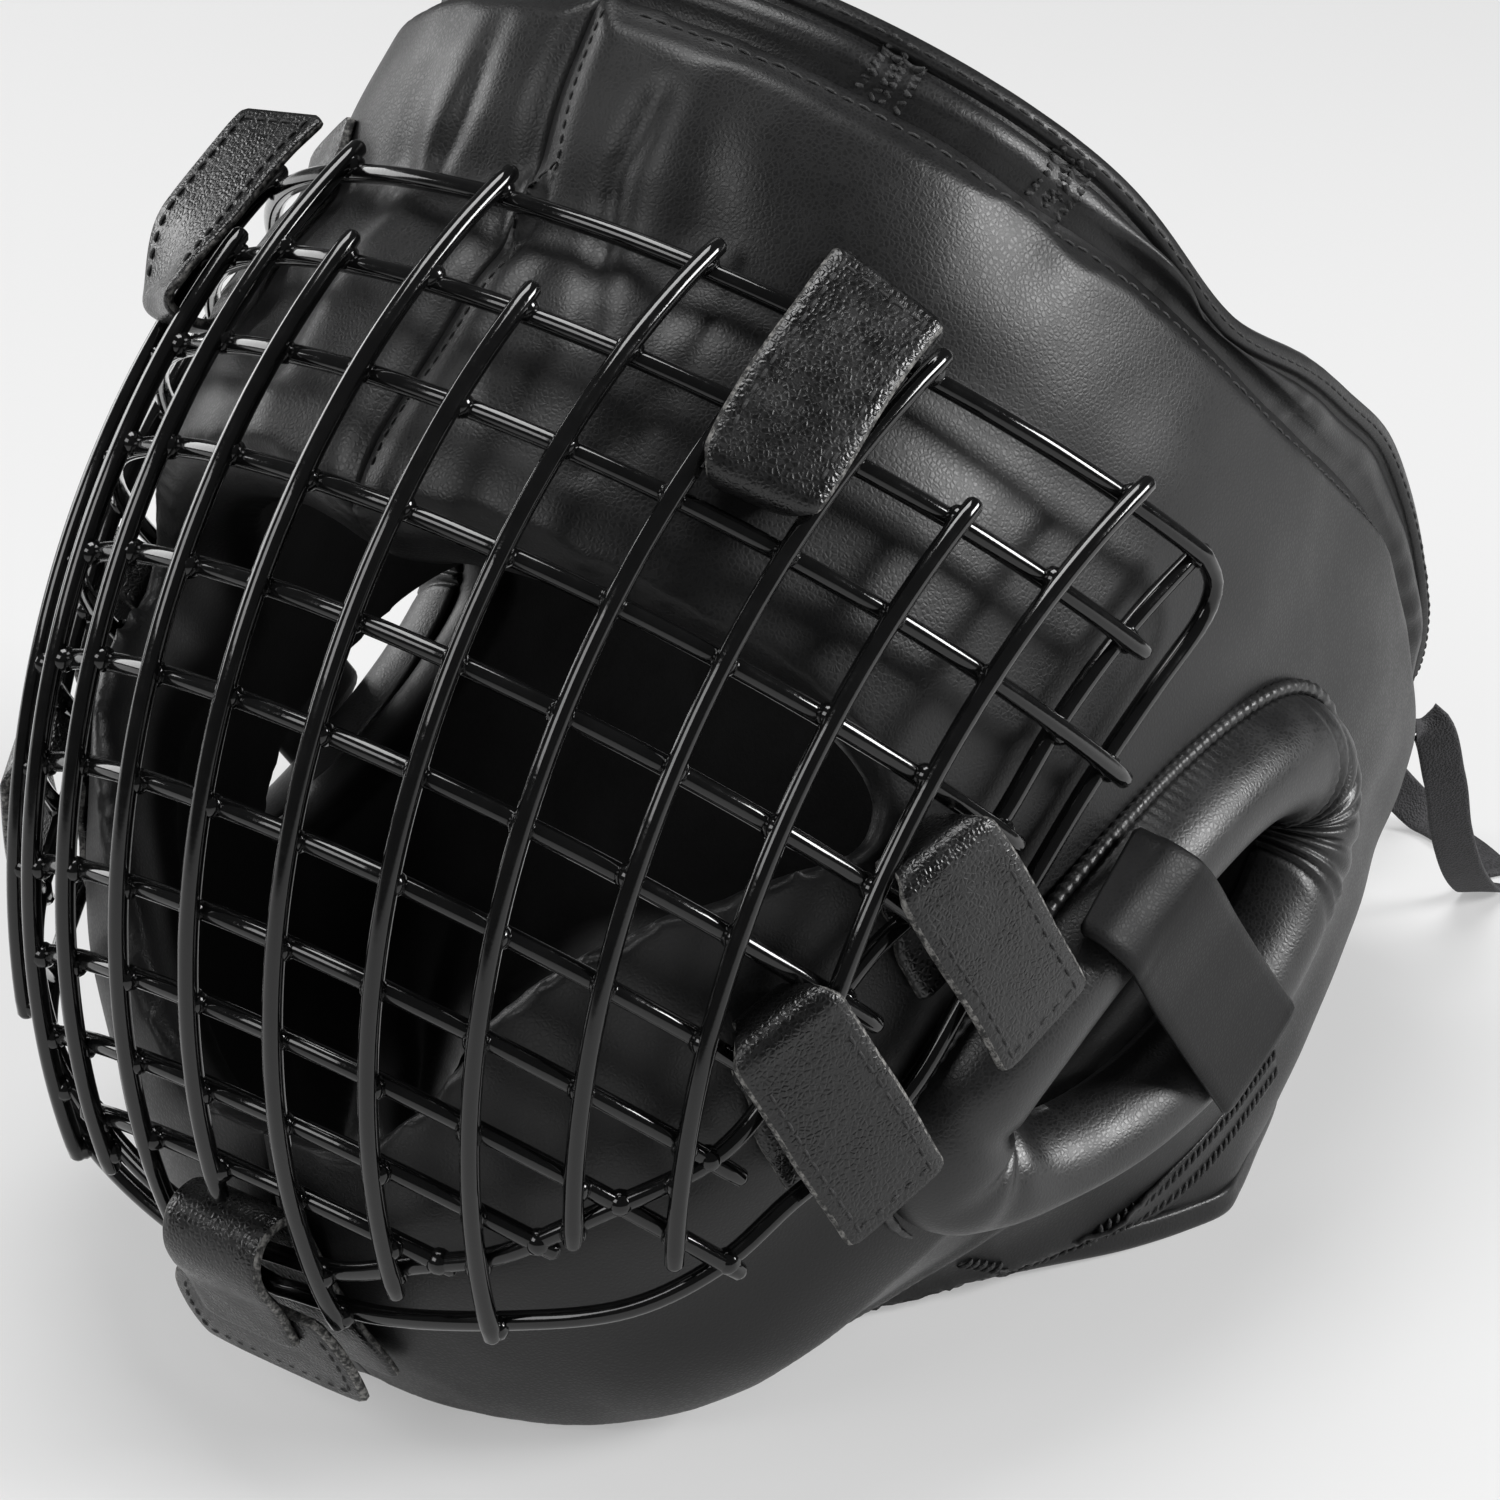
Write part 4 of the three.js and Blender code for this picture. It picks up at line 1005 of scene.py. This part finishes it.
def onFloor(p):  # the soft neck edge sags until it meets the floor
    form = shellDetail
    count, sag, corner = form["places"], form["sag"], form["corner"]
    around = np.arctan2(p[:, 0], p[:, 1] - form["middle"])
    places = ((around + math.pi) / (2 * math.pi) * count).astype(int) % count
    gap = np.full(count, form["mostGap"])
    np.minimum.at(gap, places, p[:, 2])
    gap = (np.roll(gap, 1) + gap * 2 + np.roll(gap, -1)) / 4
    steps = (np.arange(count + 2) - 0.5) / count * 2 * math.pi - math.pi
    m = np.interp(around, steps, np.concatenate([gap[-1:], gap, gap[:1]]))
    z = np.where(p[:, 2] < sag, (p[:, 2] - m) * sag / (sag - m), p[:, 2])
    out = corner["out"] * bell(p[:, 1] - corner["y"], corner["long"]) * bell(p[:, 2], corner["tall"])
    out = out * ramp(np.abs(p[:, 0]), *corner["beyond"])
    return np.stack([p[:, 0] + np.sign(p[:, 0]) * out, p[:, 1], np.maximum(z, 0)], 1)


def shellShift(p):  # slow unevenness, creases and puckers of the leather
    form = shellDetail
    shift = sum(size * swell(p, wave, seed) for size, wave, seed in form["swells"])
    lip, lipAt, lipWide = form["lip"]
    for keys, depth, width in form["creases"]:
        d = lineDistance(p, keys)
        shift = shift - depth * bell(d, width) + lip * depth * bell(d - lipAt * width, width * lipWide)
    y, z, pucker = p[:, 1], p[:, 2], form["pucker"]
    nearTop = bell(z - padTop(y) + pucker["below"], pucker["tall"]) * ramp(y, *pucker["from"])
    strong = 0.5 + 0.5 * swell(p, *pucker["fade"])
    wander = pucker["wander"] * swell(p, *pucker["drift"])
    return shift + pucker["high"] * nearTop * np.sin(y / pucker["pitch"] + wander) * strong


def shellHalves():
    mesh, form = shellMesh(), shellDetail
    relax(mesh, form["rounds"])
    mesh = subdivided(mesh)
    p, n, outer, inner = refit(worn(pointsOf(mesh)))
    low, under = laid(p), form["under"]
    spread = under["spread"] * inner * (1 - ramp(low[:, 2], *under["z"]))
    spread = spread * bell(low[:, 1] - under["y"], under["long"])
    p[:, 0] -= np.sign(p[:, 0]) * spread  # the lining spreads where it meets the floor
    p = p + n * (shellShift(p) * outer)[:, None]
    setPoints(mesh, onFloor(laid(p)))
    relax(mesh, 1)
    for side, way in hands:
        bm = bmesh.new()
        bm.from_mesh(mesh)
        geom = bm.verts[:] + bm.edges[:] + bm.faces[:]
        cut = bmesh.ops.bisect_plane(bm, geom=geom, plane_co=(form["cut"] * way, 0, 0), plane_no=(-way, 0, 0),
                                     clear_outer=True)
        edges = [e for e in cut["geom_cut"] if isinstance(e, bmesh.types.BMEdge)]
        bmesh.ops.holes_fill(bm, edges=edges, sides=0)
        half = bpy.data.meshes.new("shell_" + side)
        bm.to_mesh(half)
        bm.free()
        q = worn(pointsOf(half))
        a = angleOf(q)
        inward = np.sum((lining(a, q[:, 2]) - q) * sectionNormal(a, q[:, 2]), -1)
        obj = dress(f"shell_{side}_leather", half, [shellLeather])
        lined = obj.data.attributes.new("lined", "FLOAT", "POINT")
        lined.data.foreach_set("value", 1 - ramp(np.abs(inward), *form["lined"]))
        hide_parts("shell_" + side)
        print(obj.name, len(half.polygons), "faces")
    points = [Vector(v) for v in pointsOf(mesh)]
    return BVHTree.FromPolygons(points, [list(f.vertices) for f in mesh.polygons])


shellTree = shellHalves()

# leather band and rolled binding along the top rim
rimBand = {
    "steps": 560, "span": (0.004, 177.2), "level": 160.0, "binding": 5.2, "slot": (240, 6.6),
    "dip": 8.0, "dipAt": 109, "dipWide": 28,  # the slack stretch behind the second stitch bar
    "drift": (26, 21), "pitch": 1.9, "pucker": (0.5, 0.35, 0.5, 2), "puckerFrom": (15, 60), "slack": 0.95,
    "slackFrom": (10, 50), "pinch": (1.3, 5), "bulges": [(2.9, 85, 12), (2.0, 130, 17), (-1.8, 105, 8)],
    # out, share of the way up to the binding, rise; pucker, slack, pinch, bulge, pucker's lift
    "profile": [
        (-7.9, 0, -9), (-6.4, 0, -1.5, 0.4), (-4.6, 0, 0.8, 1, 0, 1), (-3.7, 0.2, 0, 0.9, 0.5, 0.5, 0.3),
        (-3.2, 0.42, 0, 0.5, 1, 1, 0.9), (-3.3, 0.62, 0, 0, 1, 1, 0.8), (-3.9, 0.78, 0, 0.4, 0.6, 0.6, -0.2),
        (-5.2, 0.86, 0, 0, 0.4, 0.4), (-4.2, 0.91, 0, 0, 0.4, 0.4), (-5.8, 1, -0.35, 0, 0.3, 0.3),
        (-4.0, 1, 0.1, 0, 0.2), (-2.61, 1, 0.9, 0, 0.2), (-2.5, 1, 2.6, 0.25, 0.2), (-3.05, 1, 4.3),
        (-4.8, 1, 5.1, 0, 0, 0, 0, 0.1), (-6.7, 1, 5.3), (-8.8, 1, 5.0), (-10.1, 1, 4.0), (-10.2, 1, 2.08),
        (-9.8, 1, 0), (-9.5, 0.5, 0.6, 0, 0.3), (-9.8, 0, 0), (-10.0, 0, -9)],
    "sewnRows": (11, 12), "sewnSpan": slice(4, -4), "sewnShare": 0.65, "sewnIn": 0.05, "sewnThick": 0.6,
    "bars": [  # rows of stitches that hold the crown straps: low and high end of each
        ((51, 26, 156), (51, 29, 168)), ((54.5, 30, 156), (54, 32, 168)),
        ((75, 58, 156), (75, 60, 168)), ((78, 62, 156), (78, 64, 167))],
    "barStitch": {"pitch": 1.7, "long": 5.4, "thick": 1.5, "lift": 0.35}, "slants": (62, -62),
    "barSteps": 24,
}


def rimTop(y):
    return rimHeight(y) - rimBand["dip"] * bell(y - rimBand["dipAt"], rimBand["dipWide"])


def bandRings(flip):
    form = rimBand
    angles = np.radians(np.linspace(*form["span"], form["steps"]))
    level = np.full_like(angles, form["level"])
    at, n = section(angles, level), sectionNormal(angles, level)
    n[:, 2] = 0
    n = unit(n)
    y = at[:, 1]
    wander = swell(handed(at, flip), *form["drift"])
    high, even, uneven, drift = form["pucker"]
    pucker = high * np.sin(lengths(at) / form["pitch"] + drift * wander) * (even + uneven * wander)
    pucker = pucker * ramp(y, *form["puckerFrom"])
    slack = form["slack"] * wander * ramp(y, *form["slackFrom"])
    deep, wide = form["pinch"]
    pinch = sum(deep * bell(np.hypot(at[:, 0] - low[0], y - low[1]), wide) for low, _ in form["bars"])
    bulge = sum(size * bell(y - middle, reach) for size, middle, reach in form["bulges"])  # loose folds
    base, high = padTop(y), rimTop(y) - form["binding"]
    rows = []
    for row in form["profile"]:
        out, share, rise, puckered, slackened, pinched, bulged, lifted = (*row, *[0] * (8 - len(row)))
        off = out + puckered * pucker + slackened * slack - pinched * pinch + bulged * bulge
        z = base * (1 - share) + high * share + rise + lifted * pucker
        spot = section(angles, z) + n * off[:, None]
        spot[:, 2] = z
        rows.append(spot)
    return np.stack(rows, 1)


def treeOf(objects):  # for laying things on finished pieces
    verts, faces = [], []
    for obj in objects:
        faces += [[i + len(verts) for i in f.vertices] for f in obj.data.polygons]
        verts += [v.co.copy() for v in obj.data.vertices]
    return BVHTree.FromPolygons(verts, faces)


def rimBands():
    made, form = [], rimBand
    (under, over), (slotY, slotX) = form["sewnRows"], form["slot"]
    for side, flip in hands:
        heap = Heap()
        rings = bandRings(flip)
        back = (rings[:, over, 1] > slotY) & (rings[:, over, 0] < slotX)
        rings = handed(rings[~back], flip)
        heap.loft(laid(rings))
        obj = heap.piece(f"rim_band_{side}_leather", [bindingLeather])
        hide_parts(f"rim_band_{side}")
        made.append(obj)
        low, high = (rings[form["sewnSpan"], row] for row in (under, over))
        line = low * (1 - form["sewnShare"]) + high * form["sewnShare"]
        ups = unit(np.cross(np.gradient(line, axis=0), high - low))
        ups = ups * np.sign(np.sum(ups[len(ups) // 2] * [flip, 0, 0]))
        sew(threads, line - ups * form["sewnIn"], ups, {**seamStitch, "thick": form["sewnThick"]})
    tree = treeOf(made)
    for low, high in np.array(form["bars"], float):
        for flip in (1, -1):
            keys = handed(np.array([low, (low + high) / 2, high]), flip)
            for slant in form["slants"]:
                sewOn(threads, keys, tree, {**form["barStitch"], "slant": slant}, form["barSteps"])


rimBands()
print("rim bands made")

# padded ear rings, gathered at both ends
ear = {
    "y": 162, "z": 43, "tilt": 26, "long": 60, "short": 27, "roll": 12.3, "proud": 2.5, "steps": 760,
    "around": 36, "seeds": (31, 32), "sink": 1.5, "buried": 2.5,
    "ends": {"power": 6, "wide": 2.2, "low": 0.4},
    "slows": [(0.5, 3, 1), (0.3, 7, 2)], "uneven": 0.35, "sewn": (-0.3, 0.1), "foot": (0.26, 0.2),
    "ticks": 0.15, "tickPitch": 2.3, "tickDrift": (1.5, 0.7), "ticked": ((66, 92), (165, 205)),
    "slim": (5, 325, 38), "open": (6, 60),  # thinner outside and inside: depth, where, how far
    "fans": [(76, 9, 34, 1.6, 2.1), (272, 3, 26, 5.0, 2.2)],  # middle, folds, spread, width, depth
    "fan": {"power": 0.8, "stray": (-2, 2), "opens": 0.35, "size": (0.5, 1.0), "wide": (0.8, 1.3),
            "lip": (0.5, 2.1, 1.5)},
    "welt": {"off": 1.0, "up": 0.5, "size": 1.5, "beat": 0.3, "taper": 0.4, "sides": 8, "least": 0.02},
    "strip": {"width": 25, "thick": 2.0, "crown": 0.3, "over": 0.7, "around": 1.8, "front": (20, 45, 70, 90),
              "back": (90, 87, 83), "inner": 0.35, "sag": 0.6, "fall": 0.125, "steps": 90},
}


def earPoint(turn, longWay, shortWay):
    m, l = shortWay * np.cos(turn), longWay * np.sin(turn)
    c, s = math.cos(math.radians(ear["tilt"])), math.sin(math.radians(ear["tilt"]))
    return np.stack([0 * turn, ear["y"] + m * c + l * s, ear["z"] - m * s + l * c], -1)


def leatherX(y, z):  # the dented leather beside the ear
    x = sideX(y, z)
    return x - tuck(np.stack([x, y, z], -1))


def earFolds(turn, t, rng):  # creases that fan out from the hole at both ends of the ring
    fan = ear["fan"]
    lip, lipAt, lipWide = fan["lip"]
    total = np.zeros_like(turn)
    for middle, count, spread, wide, deep in ear["fans"]:
        for k in range(count):
            at = middle + spread * (2 * (k + 0.5) / count - 1) + rng.uniform(*fan["stray"])
            at = at + (at - middle) * fan["opens"] * math.cos(t)  # the fan opens outwards
            size = deep * rng.uniform(*fan["size"])
            narrow = wide * rng.uniform(*fan["wide"])
            off = np.degrees(turn) - at
            raised = lip * bell(off - lipAt * narrow, lipWide * narrow)
            total = total - size * (bell(off, narrow) - raised)
    return total * (0.5 - 0.5 * math.cos(t)) ** fan["power"]


def earRings():
    turn = np.arange(ear["steps"]) * 2 * math.pi / ear["steps"]
    degrees = np.degrees(turn)
    c = earPoint(turn, ear["long"], ear["short"])
    ahead = unit(earPoint(turn + probe["ahead"], ear["long"], ear["short"]) - c)
    out = np.stack([0 * turn, ahead[:, 2], -ahead[:, 1]], -1)
    ends = np.abs(np.sin(turn)) ** ear["ends"]["power"]
    sewnSide = ramp(-np.cos(turn), *ear["sewn"])  # the front side is sewn down along a welt
    first, last = ear["ticked"]
    ticked = ramp(degrees, *first) * (1 - ramp(degrees, *last))
    slim, slimAt, slimOver = ear["slim"]
    slim = slim * bell(degrees - slimAt, slimOver)
    opened, openOver = ear["open"]
    opened = opened * bell(np.mod(degrees + 180, 360) - 180, openOver)
    wide = ear["roll"] + ear["ends"]["wide"] * ends
    high = ear["roll"] + ear["proud"] * (1 - ear["ends"]["low"] * ends)
    base = sideX(c[:, 1], c[:, 2]) - ear["sink"]
    beatDrift, tickDrift = ear["tickDrift"]
    footAt, footOver = ear["foot"]
    for (side, flip), seed in zip(hands, ear["seeds"]):
        slow = sum(size * np.sin(waves * turn + part * seed) for size, waves, part in ear["slows"])
        beat = 0.5 + 0.5 * np.cos(lengths(c) * 2 * math.pi / ear["tickPitch"] + beatDrift * slow)
        ticks = -ear["ticks"] * beat**3 * ticked * (1 + tickDrift * slow)
        rings = []
        for k in range(ear["around"]):
            t = (k + 0.5) / ear["around"] * 2 * math.pi
            rise = earFolds(turn, t, np.random.default_rng(seed))
            rise = rise + ticks * bell(t - footAt, footOver) + ear["uneven"] * slow
            thin = slim if math.cos(t) > 0 else opened * (flip < 0)
            spot = c + out * ((wide - thin + rise) * math.cos(t))[:, None]
            x = base + (high + rise) * math.sin(t)
            spot[:, 0] = np.maximum(x, leatherX(spot[:, 1], spot[:, 2]) - ear["buried"])
            rings.append(handed(spot, flip))
        heap = Heap()
        heap.loft(laid(np.stack(rings, 1)), closed=True)
        form = ear["welt"]  # along the sewn foot of the roll
        sewn = sewnSide > form["least"]
        welt = (c + out * (wide + form["off"])[:, None])[sewn]
        welt[:, 0] = leatherX(welt[:, 1], welt[:, 2]) + form["up"]
        r = (form["size"] + form["beat"] * beat[sewn]) * sewnSide[sewn] ** form["taper"]
        turns = np.arange(form["sides"]) * 2 * math.pi / form["sides"]
        bead = [welt + (out[sewn] * math.cos(t) + np.array([1, 0, 0]) * math.sin(t)) * r[:, None]
                for t in turns]
        heap.loft(laid(handed(np.stack(bead, 1), flip)))
        obj = heap.piece(f"ear_ring_{side}_roll", [rollLeather])
        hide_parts(f"ear_ring_{side}")


earRings()


def earStrips():
    form, tilt, y, z = ear["strip"], math.radians(ear["tilt"]), ear["y"], ear["z"]
    shear, half = math.tan(tilt), ear["short"] / math.cos(tilt)
    rise = ear["roll"] + ear["proud"] + form["over"]
    around = ear["roll"] / math.cos(tilt) + form["around"]
    frontX, backX = float(sideX(y - half, z)), float(sideX(y + half, z))
    inner, flat = half * form["inner"], rise - form["sag"]

    def over(x, way, turns):  # round the roll on one side
        return [(y + way * (half + around * math.cos(t)), x + rise * math.sin(t)) for t in np.radians(turns)]

    stations = over(frontX, -1, form["front"])
    stations += [(y - inner, (frontX * 2 + backX) / 3 + flat), (y + inner, (frontX + backX * 2) / 3 + flat)]
    stations += over(backX, 1, form["back"])
    keys, edge = [], form["width"] / 2
    for along, x in stations:  # it runs a little downhill towards the back
        fall = -form["fall"] * (along - y)
        slope = float(sideX(along, z + fall + edge) - sideX(along, z + fall - edge)) / form["width"]
        x = x + float(sideX(along, z + fall) - sideX(along, z))
        way = unit(np.array([slope, shear, 1]))
        keys.append([x, along + shear * fall, z + fall, *way, form["width"] * math.hypot(1, shear)])
    run = smoothRun(keys, form["steps"])
    for side, flip in hands:
        heap, hand = Heap(), run.copy()
        hand[:, [0, 3]] *= flip
        ribbon(heap, hand, form["thick"], form["crown"], kinds=(0, 0))
        obj = heap.piece(f"ear_strip_{side}_leather", [stripLeather])
        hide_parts(f"ear_strip_{side}")


earStrips()
print("ear pieces made")

# soft chin pad with a gathered lining
chinPad = {"voxel": 0.0042, "rounds": 6, "pressure": 4, "gather": -0.16, "frames": 20, "cap": 0.004,
           "held": 0.15, "pitch": 1.9, "wander": 1.4, "drift": (26, 41), "rows": 0.5, "fine": 0.4,
           "lumps": (9, 42)}


def gathered(mesh, form):  # cloth a little too large for its pad, pressed out from inside
    before = pointsOf(mesh)
    fixed = np.flatnonzero(pointsOf(mesh, "normal")[:, 2] < form["held"])
    holder, modifier = held(mesh, "CLOTH")
    pins = holder.vertex_groups.new(name="pins")
    pins.add([int(i) for i in fixed], 1.0, "REPLACE")
    cloth = modifier.settings
    cloth.use_pressure = True
    cloth.uniform_pressure_force = form["pressure"]
    cloth.effector_weights.gravity = 0
    cloth.vertex_group_mass = "pins"
    cloth.shrink_min = form["gather"]
    scene = bpy.context.scene
    for step in range(1, form["frames"] + 1):
        scene.frame_set(step)
    made = taken(holder)
    scene.frame_set(1)
    move = pointsOf(made) - before
    far = np.maximum(np.linalg.norm(move, axis=1, keepdims=True), 1e-9)
    print("cloth moved", round(float(far.max()) * 1000, 2), "mm before the cap")
    setPoints(made, before + move * np.minimum(1, form["cap"] / far))
    return made


def chinPadPiece():
    form = chinPad
    mesh = fineCopy(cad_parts["chin_pad"].data.copy(), form["voxel"])
    relax(mesh, form["rounds"])
    mesh = subdivided(gathered(mesh, form))
    p, n = pointsOf(mesh), pointsOf(mesh, "normal")
    mm, up = p * 1000, np.clip(n[:, 2], 0, 1)
    rows = np.sin(mm[:, 1] / form["pitch"] + form["wander"] * swell(mm, *form["drift"])) * form["rows"]
    rows = rows + form["fine"] * swell(mm, *form["lumps"])
    setPoints(mesh, p + n * (rows * up / 1000)[:, None])
    obj = dress("chin_pad_lining", mesh, [liningCloth])
    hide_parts("chin_pad")


chinPadPiece()

# crown straps, sewn at the crossing and along the rim
crown = {"width": 38, "thick": 2.0, "start": (63, 37), "finish": (-82, 204), "arch": 12, "lanes": 15,
         "steps": 90, "level": 166.0, "halvings": 24, "room": 0.2, "rims": (30.0, 206.0), "below": 4,
         "archPower": 0.6, "lap": (1.1, 109, 34), "edge": (0.5, 6), "sewnLanes": (2, -3), "sewnIn": 4, "sewnUp": 0.25}


def crownPiece():
    form, thick, steps = crown, crown["thick"], crown["steps"]
    start, finish = np.array(form["start"], float), np.array(form["finish"], float)
    way = finish - start
    across = unit(np.array([way[1], -way[0]]))
    lanes = np.linspace(-1, 1, form["lanes"]) * form["width"] / 2
    (lapUp, lapY, lapWide), (edgeDrop, edgePower) = form["lap"], form["edge"]
    rimFront, rimBack = (rimHeight(y) for y in form["rims"])
    room = shellForm["bandInside"] - form["room"]
    heap = Heap()
    for flip in (1, -1):
        top, under = [], []
        for lane in lanes:
            ends = []
            for far in (0.0, 1.0):
                low, high = 0.5, far
                for _ in range(form["halvings"]):
                    t = (low + high) / 2
                    spot = np.array([*start + way * t + across * lane, form["level"]])
                    good = filled(spot, spot[1] < shellForm["mid"], room) < 1
                    low, high = (t, high) if good else (low, t)
                ends.append(low)
            t = np.linspace(*ends, steps)
            xy = start + way * t[:, None] + across * lane
            z = rimFront * (1 - t) + rimBack * t - form["below"]
            z = z + form["arch"] * np.maximum(0, np.sin(math.pi * t)) ** form["archPower"]
            z = z + flip * lapUp * bell(np.hypot(xy[:, 0], xy[:, 1] - lapY), lapWide)  # one lies on the other
            z = z - edgeDrop * (abs(lane) / lanes[-1]) ** edgePower
            for rows, up in ((top, thick / 2), (under, -thick / 2)):
                rows.append(np.stack([xy[:, 0] * flip, xy[:, 1], z + up], -1))
        heap.loft(laid(np.stack(top + under[::-1], 1)))
        cut = form["sewnIn"]
        for lane in form["sewnLanes"]:
            line = top[lane][cut:-cut] + [0, 0, form["sewnUp"]]
            sew(threads, line, np.repeat([[0, 0, 1.0]], len(line), 0), seamStitch)
    obj = heap.piece("crown_straps_leather", [bindingLeather])
    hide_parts("crown_straps")


crownPiece()

# lace across the back slot
laceRungs = {"heights": {"lace_lower": 100, "lace_middle": 118, "lace_upper": 136}, "reach": 22, "width": 10,
             "thick": 1.3, "points": 9, "steps": 60, "dive": 2.2, "diveFrom": (18.5, 22), "proud": 0.8,
             "crown": 0.1}


def laceRung(name, z):
    form = laceRungs
    x = np.linspace(-form["reach"], form["reach"], form["points"])
    out = form["proud"] - form["dive"] * ramp(np.abs(x), *form["diveFrom"])
    keys = [[a, float(backY(a, z)) + b, z, 0, 0, 1, form["width"]] for a, b in zip(x, out)]
    heap = Heap()
    run = smoothRun(keys, form["steps"])
    ribbon(heap, run, form["thick"], form["crown"], corners=(False, False), kinds=(0, 0))
    obj = heap.piece(name + "_tape", [laceWeave])
    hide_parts(name)


for rungName, rungHeight in laceRungs["heights"].items():
    laceRung(rungName, rungHeight)

# bound hem along the neck edge, with zigzag rows over it
neckHem = {
    "high": 6.4, "thick": 4.4, "steps": 200, "proud": 0.8, "sides": 16, "square": 0.7,
    "waist": (0.35, 25, 14), "fade": 14, "least": 0.2,
    "band": {"wide": 12, "steps": 60, "off": 0.0002, "thick": 1.0, "crown": 0.2}, "rowSteps": 120,
    "floor": [  # across, along, above the floor
        (66, 108, 2.8), (75, 98, 2.8), (85, 82.4, 2.8), (94, 59, 2.8), (99.4, 44, 2.9), (101.2, 37, 2.9),
        (98.8, 27.5, 2.9), (93, 12, 3.4), (83.5, -6.5, 4.6), (75, -20.5, 4.8), (68, -32, 4.8)],
    "zigzag": [
        [(103, 246, 52), (103, 244, 48), (102, 234, 29), (98, 228, 14), (93, 223, 2), (83, 218, -12),
         (79, 201, -21)],
        [(101, 252, 50), (101, 249, 44), (100, 240, 24), (97, 233, 10), (91, 229, -1), (82, 222, -16)]],
    "rowStitch": {"pitch": 2.0, "long": 3.6, "thick": 1.0, "slant": 55, "lift": 0.6},
}


def neckHems():
    form, band, steps = neckHem, neckHem["band"], neckHem["steps"]
    run = smoothRun(form["floor"], steps)
    along = unit(np.gradient(run, axis=0))
    side = unit(np.cross(along, [0, 0, 1]))
    side = side * np.sign(np.sum(side[len(side) // 2] * [1, 0, 0]))
    waist, waistAt, waistOver = form["waist"]
    rings = []
    for t in np.arange(form["sides"]) * 2 * math.pi / form["sides"]:
        c, s = (np.sign(v) * abs(v) ** form["square"] / 2 for v in (math.cos(t), math.sin(t)))
        sunk = waist * bell(abs(math.degrees(t)) - waistAt, waistOver)  # a sewn line along it
        rings.append(run + side * (c * form["thick"] - sunk) + np.array([0, 0, 1]) * s * form["high"])
    ring = np.stack(rings, 1)
    fromEnd = np.minimum(np.arange(steps), np.arange(steps)[::-1])
    fade = np.minimum(1, fromEnd / form["fade"])[:, None, None]
    ring = run[:, None] + (ring - run[:, None]) * (form["least"] + (1 - form["least"]) * fade)
    upper, lower = (np.array(keys, float) for keys in form["zigzag"])
    middle = smoothRun((upper[:len(lower)] + lower) / 2, band["steps"])
    for hand, flip in hands:
        heap = Heap()
        heap.loft(handed(ring + side[:, None] * form["proud"], flip) / 1000)
        spots, ups = onto(handed(middle, flip), shellTree)  # facing under the zigzag rows
        spots = spots + ups * band["off"]
        across = np.cross(np.gradient(spots, axis=0), ups)
        wide = np.full(band["steps"], band["wide"])
        ribbon(heap, np.column_stack([spots, across, wide]), band["thick"], band["crown"], kinds=(0, 0))
        obj = heap.piece(f"neck_hem_{hand}", [bindingLeather])
        for keys in (upper, lower):
            sewOn(threads, handed(keys, flip), shellTree, form["rowStitch"], form["rowSteps"])


neckHems()

# seams of the shell
seamLines = {
    "centre": [(0, 4, 152), (0, 4, 140), (0, 3, 125), (0, 5, 100), (0, 6, 75), (0, 9, 52)],
    "apart": 1.7, "stitch": {"pitch": 2.8, "long": 2.1, "thick": 0.6}, "steps": 60,
    "rim": {"below": 1.8, "span": (4, 172, 160), "level": 150.0, "thick": 0.7, "steps": 260},
}


def shellSeams():
    form, rim = seamLines, seamLines["rim"]
    centre = [(x + form["apart"], y, z) for x, y, z in form["centre"]]
    sewOn(threads, centre, shellTree, form["stitch"], form["steps"])
    angles = np.radians(np.linspace(*rim["span"]))
    p = section(angles, np.full_like(angles, rim["level"]))
    p[:, 2] = padTop(p[:, 1]) - rim["below"]
    for flip in (1, -1):
        sewOn(threads, handed(p, flip), shellTree, {**seamStitch, "thick": rim["thick"]}, rim["steps"])


shellSeams()
threadPiece = threads.piece("sewn_thread", [thread])
print("thread", len(threadPiece.data.polygons), "faces")

# floor, light
floorMesh = bpy.data.meshes.new("floor")
reach = floorLook["size"]
corners = [(-reach, -reach, 0), (reach, -reach, 0), (reach, reach, 0), (-reach, reach, 0)]
floorMesh.from_pydata(corners, [], [[0, 1, 2, 3]])
floorMesh.materials.append(finish("pale_floor", floorSockets))
floor = bpy.data.objects.new("floor", floorMesh)
bpy.context.collection.objects.link(floor)

lamps = {
    "overhead": {"place": (-0.25, 0.1, 2.1), "aim": (0, 0, 0.1), "size": (1.0, 1.0), "power": 29},
    "leftBox": {"place": (-1.7, -0.2, 0.6), "aim": (0, 0, 0.2), "size": (1.3, 0.8), "power": 16},
    "rightBox": {"place": (1.3, 0.7, 0.8), "aim": (0, 0, 0.18), "size": (0.6, 0.5), "power": 27},
    "frontFill": {"place": (-0.25, -1.8, 1.4), "aim": (0, 0, 0.15), "size": (1.1, 0.9), "power": 16},
}
for lampName, lamp in lamps.items():
    data = bpy.data.lights.new(lampName, "AREA")
    data.shape = "RECTANGLE"
    data.size, data.size_y = lamp["size"]
    data.energy = lamp["power"]
    light = bpy.data.objects.new(lampName, data)
    light.location = lamp["place"]
    light.rotation_euler = (Vector(lamp["aim"]) - Vector(lamp["place"])).to_track_quat("-Z", "Y").to_euler()
    bpy.context.collection.objects.link(light)
air = {"tone": (0.9, 0.91, 0.92, 1), "strength": 0.1}
world = bpy.data.worlds.new("studio")
world.use_nodes = True
backdrop = world.node_tree.nodes["Background"]
backdrop.inputs[0].default_value, backdrop.inputs[1].default_value = air["tone"], air["strength"]
bpy.context.scene.world = world
bpy.context.scene.view_settings.view_transform = "Standard"
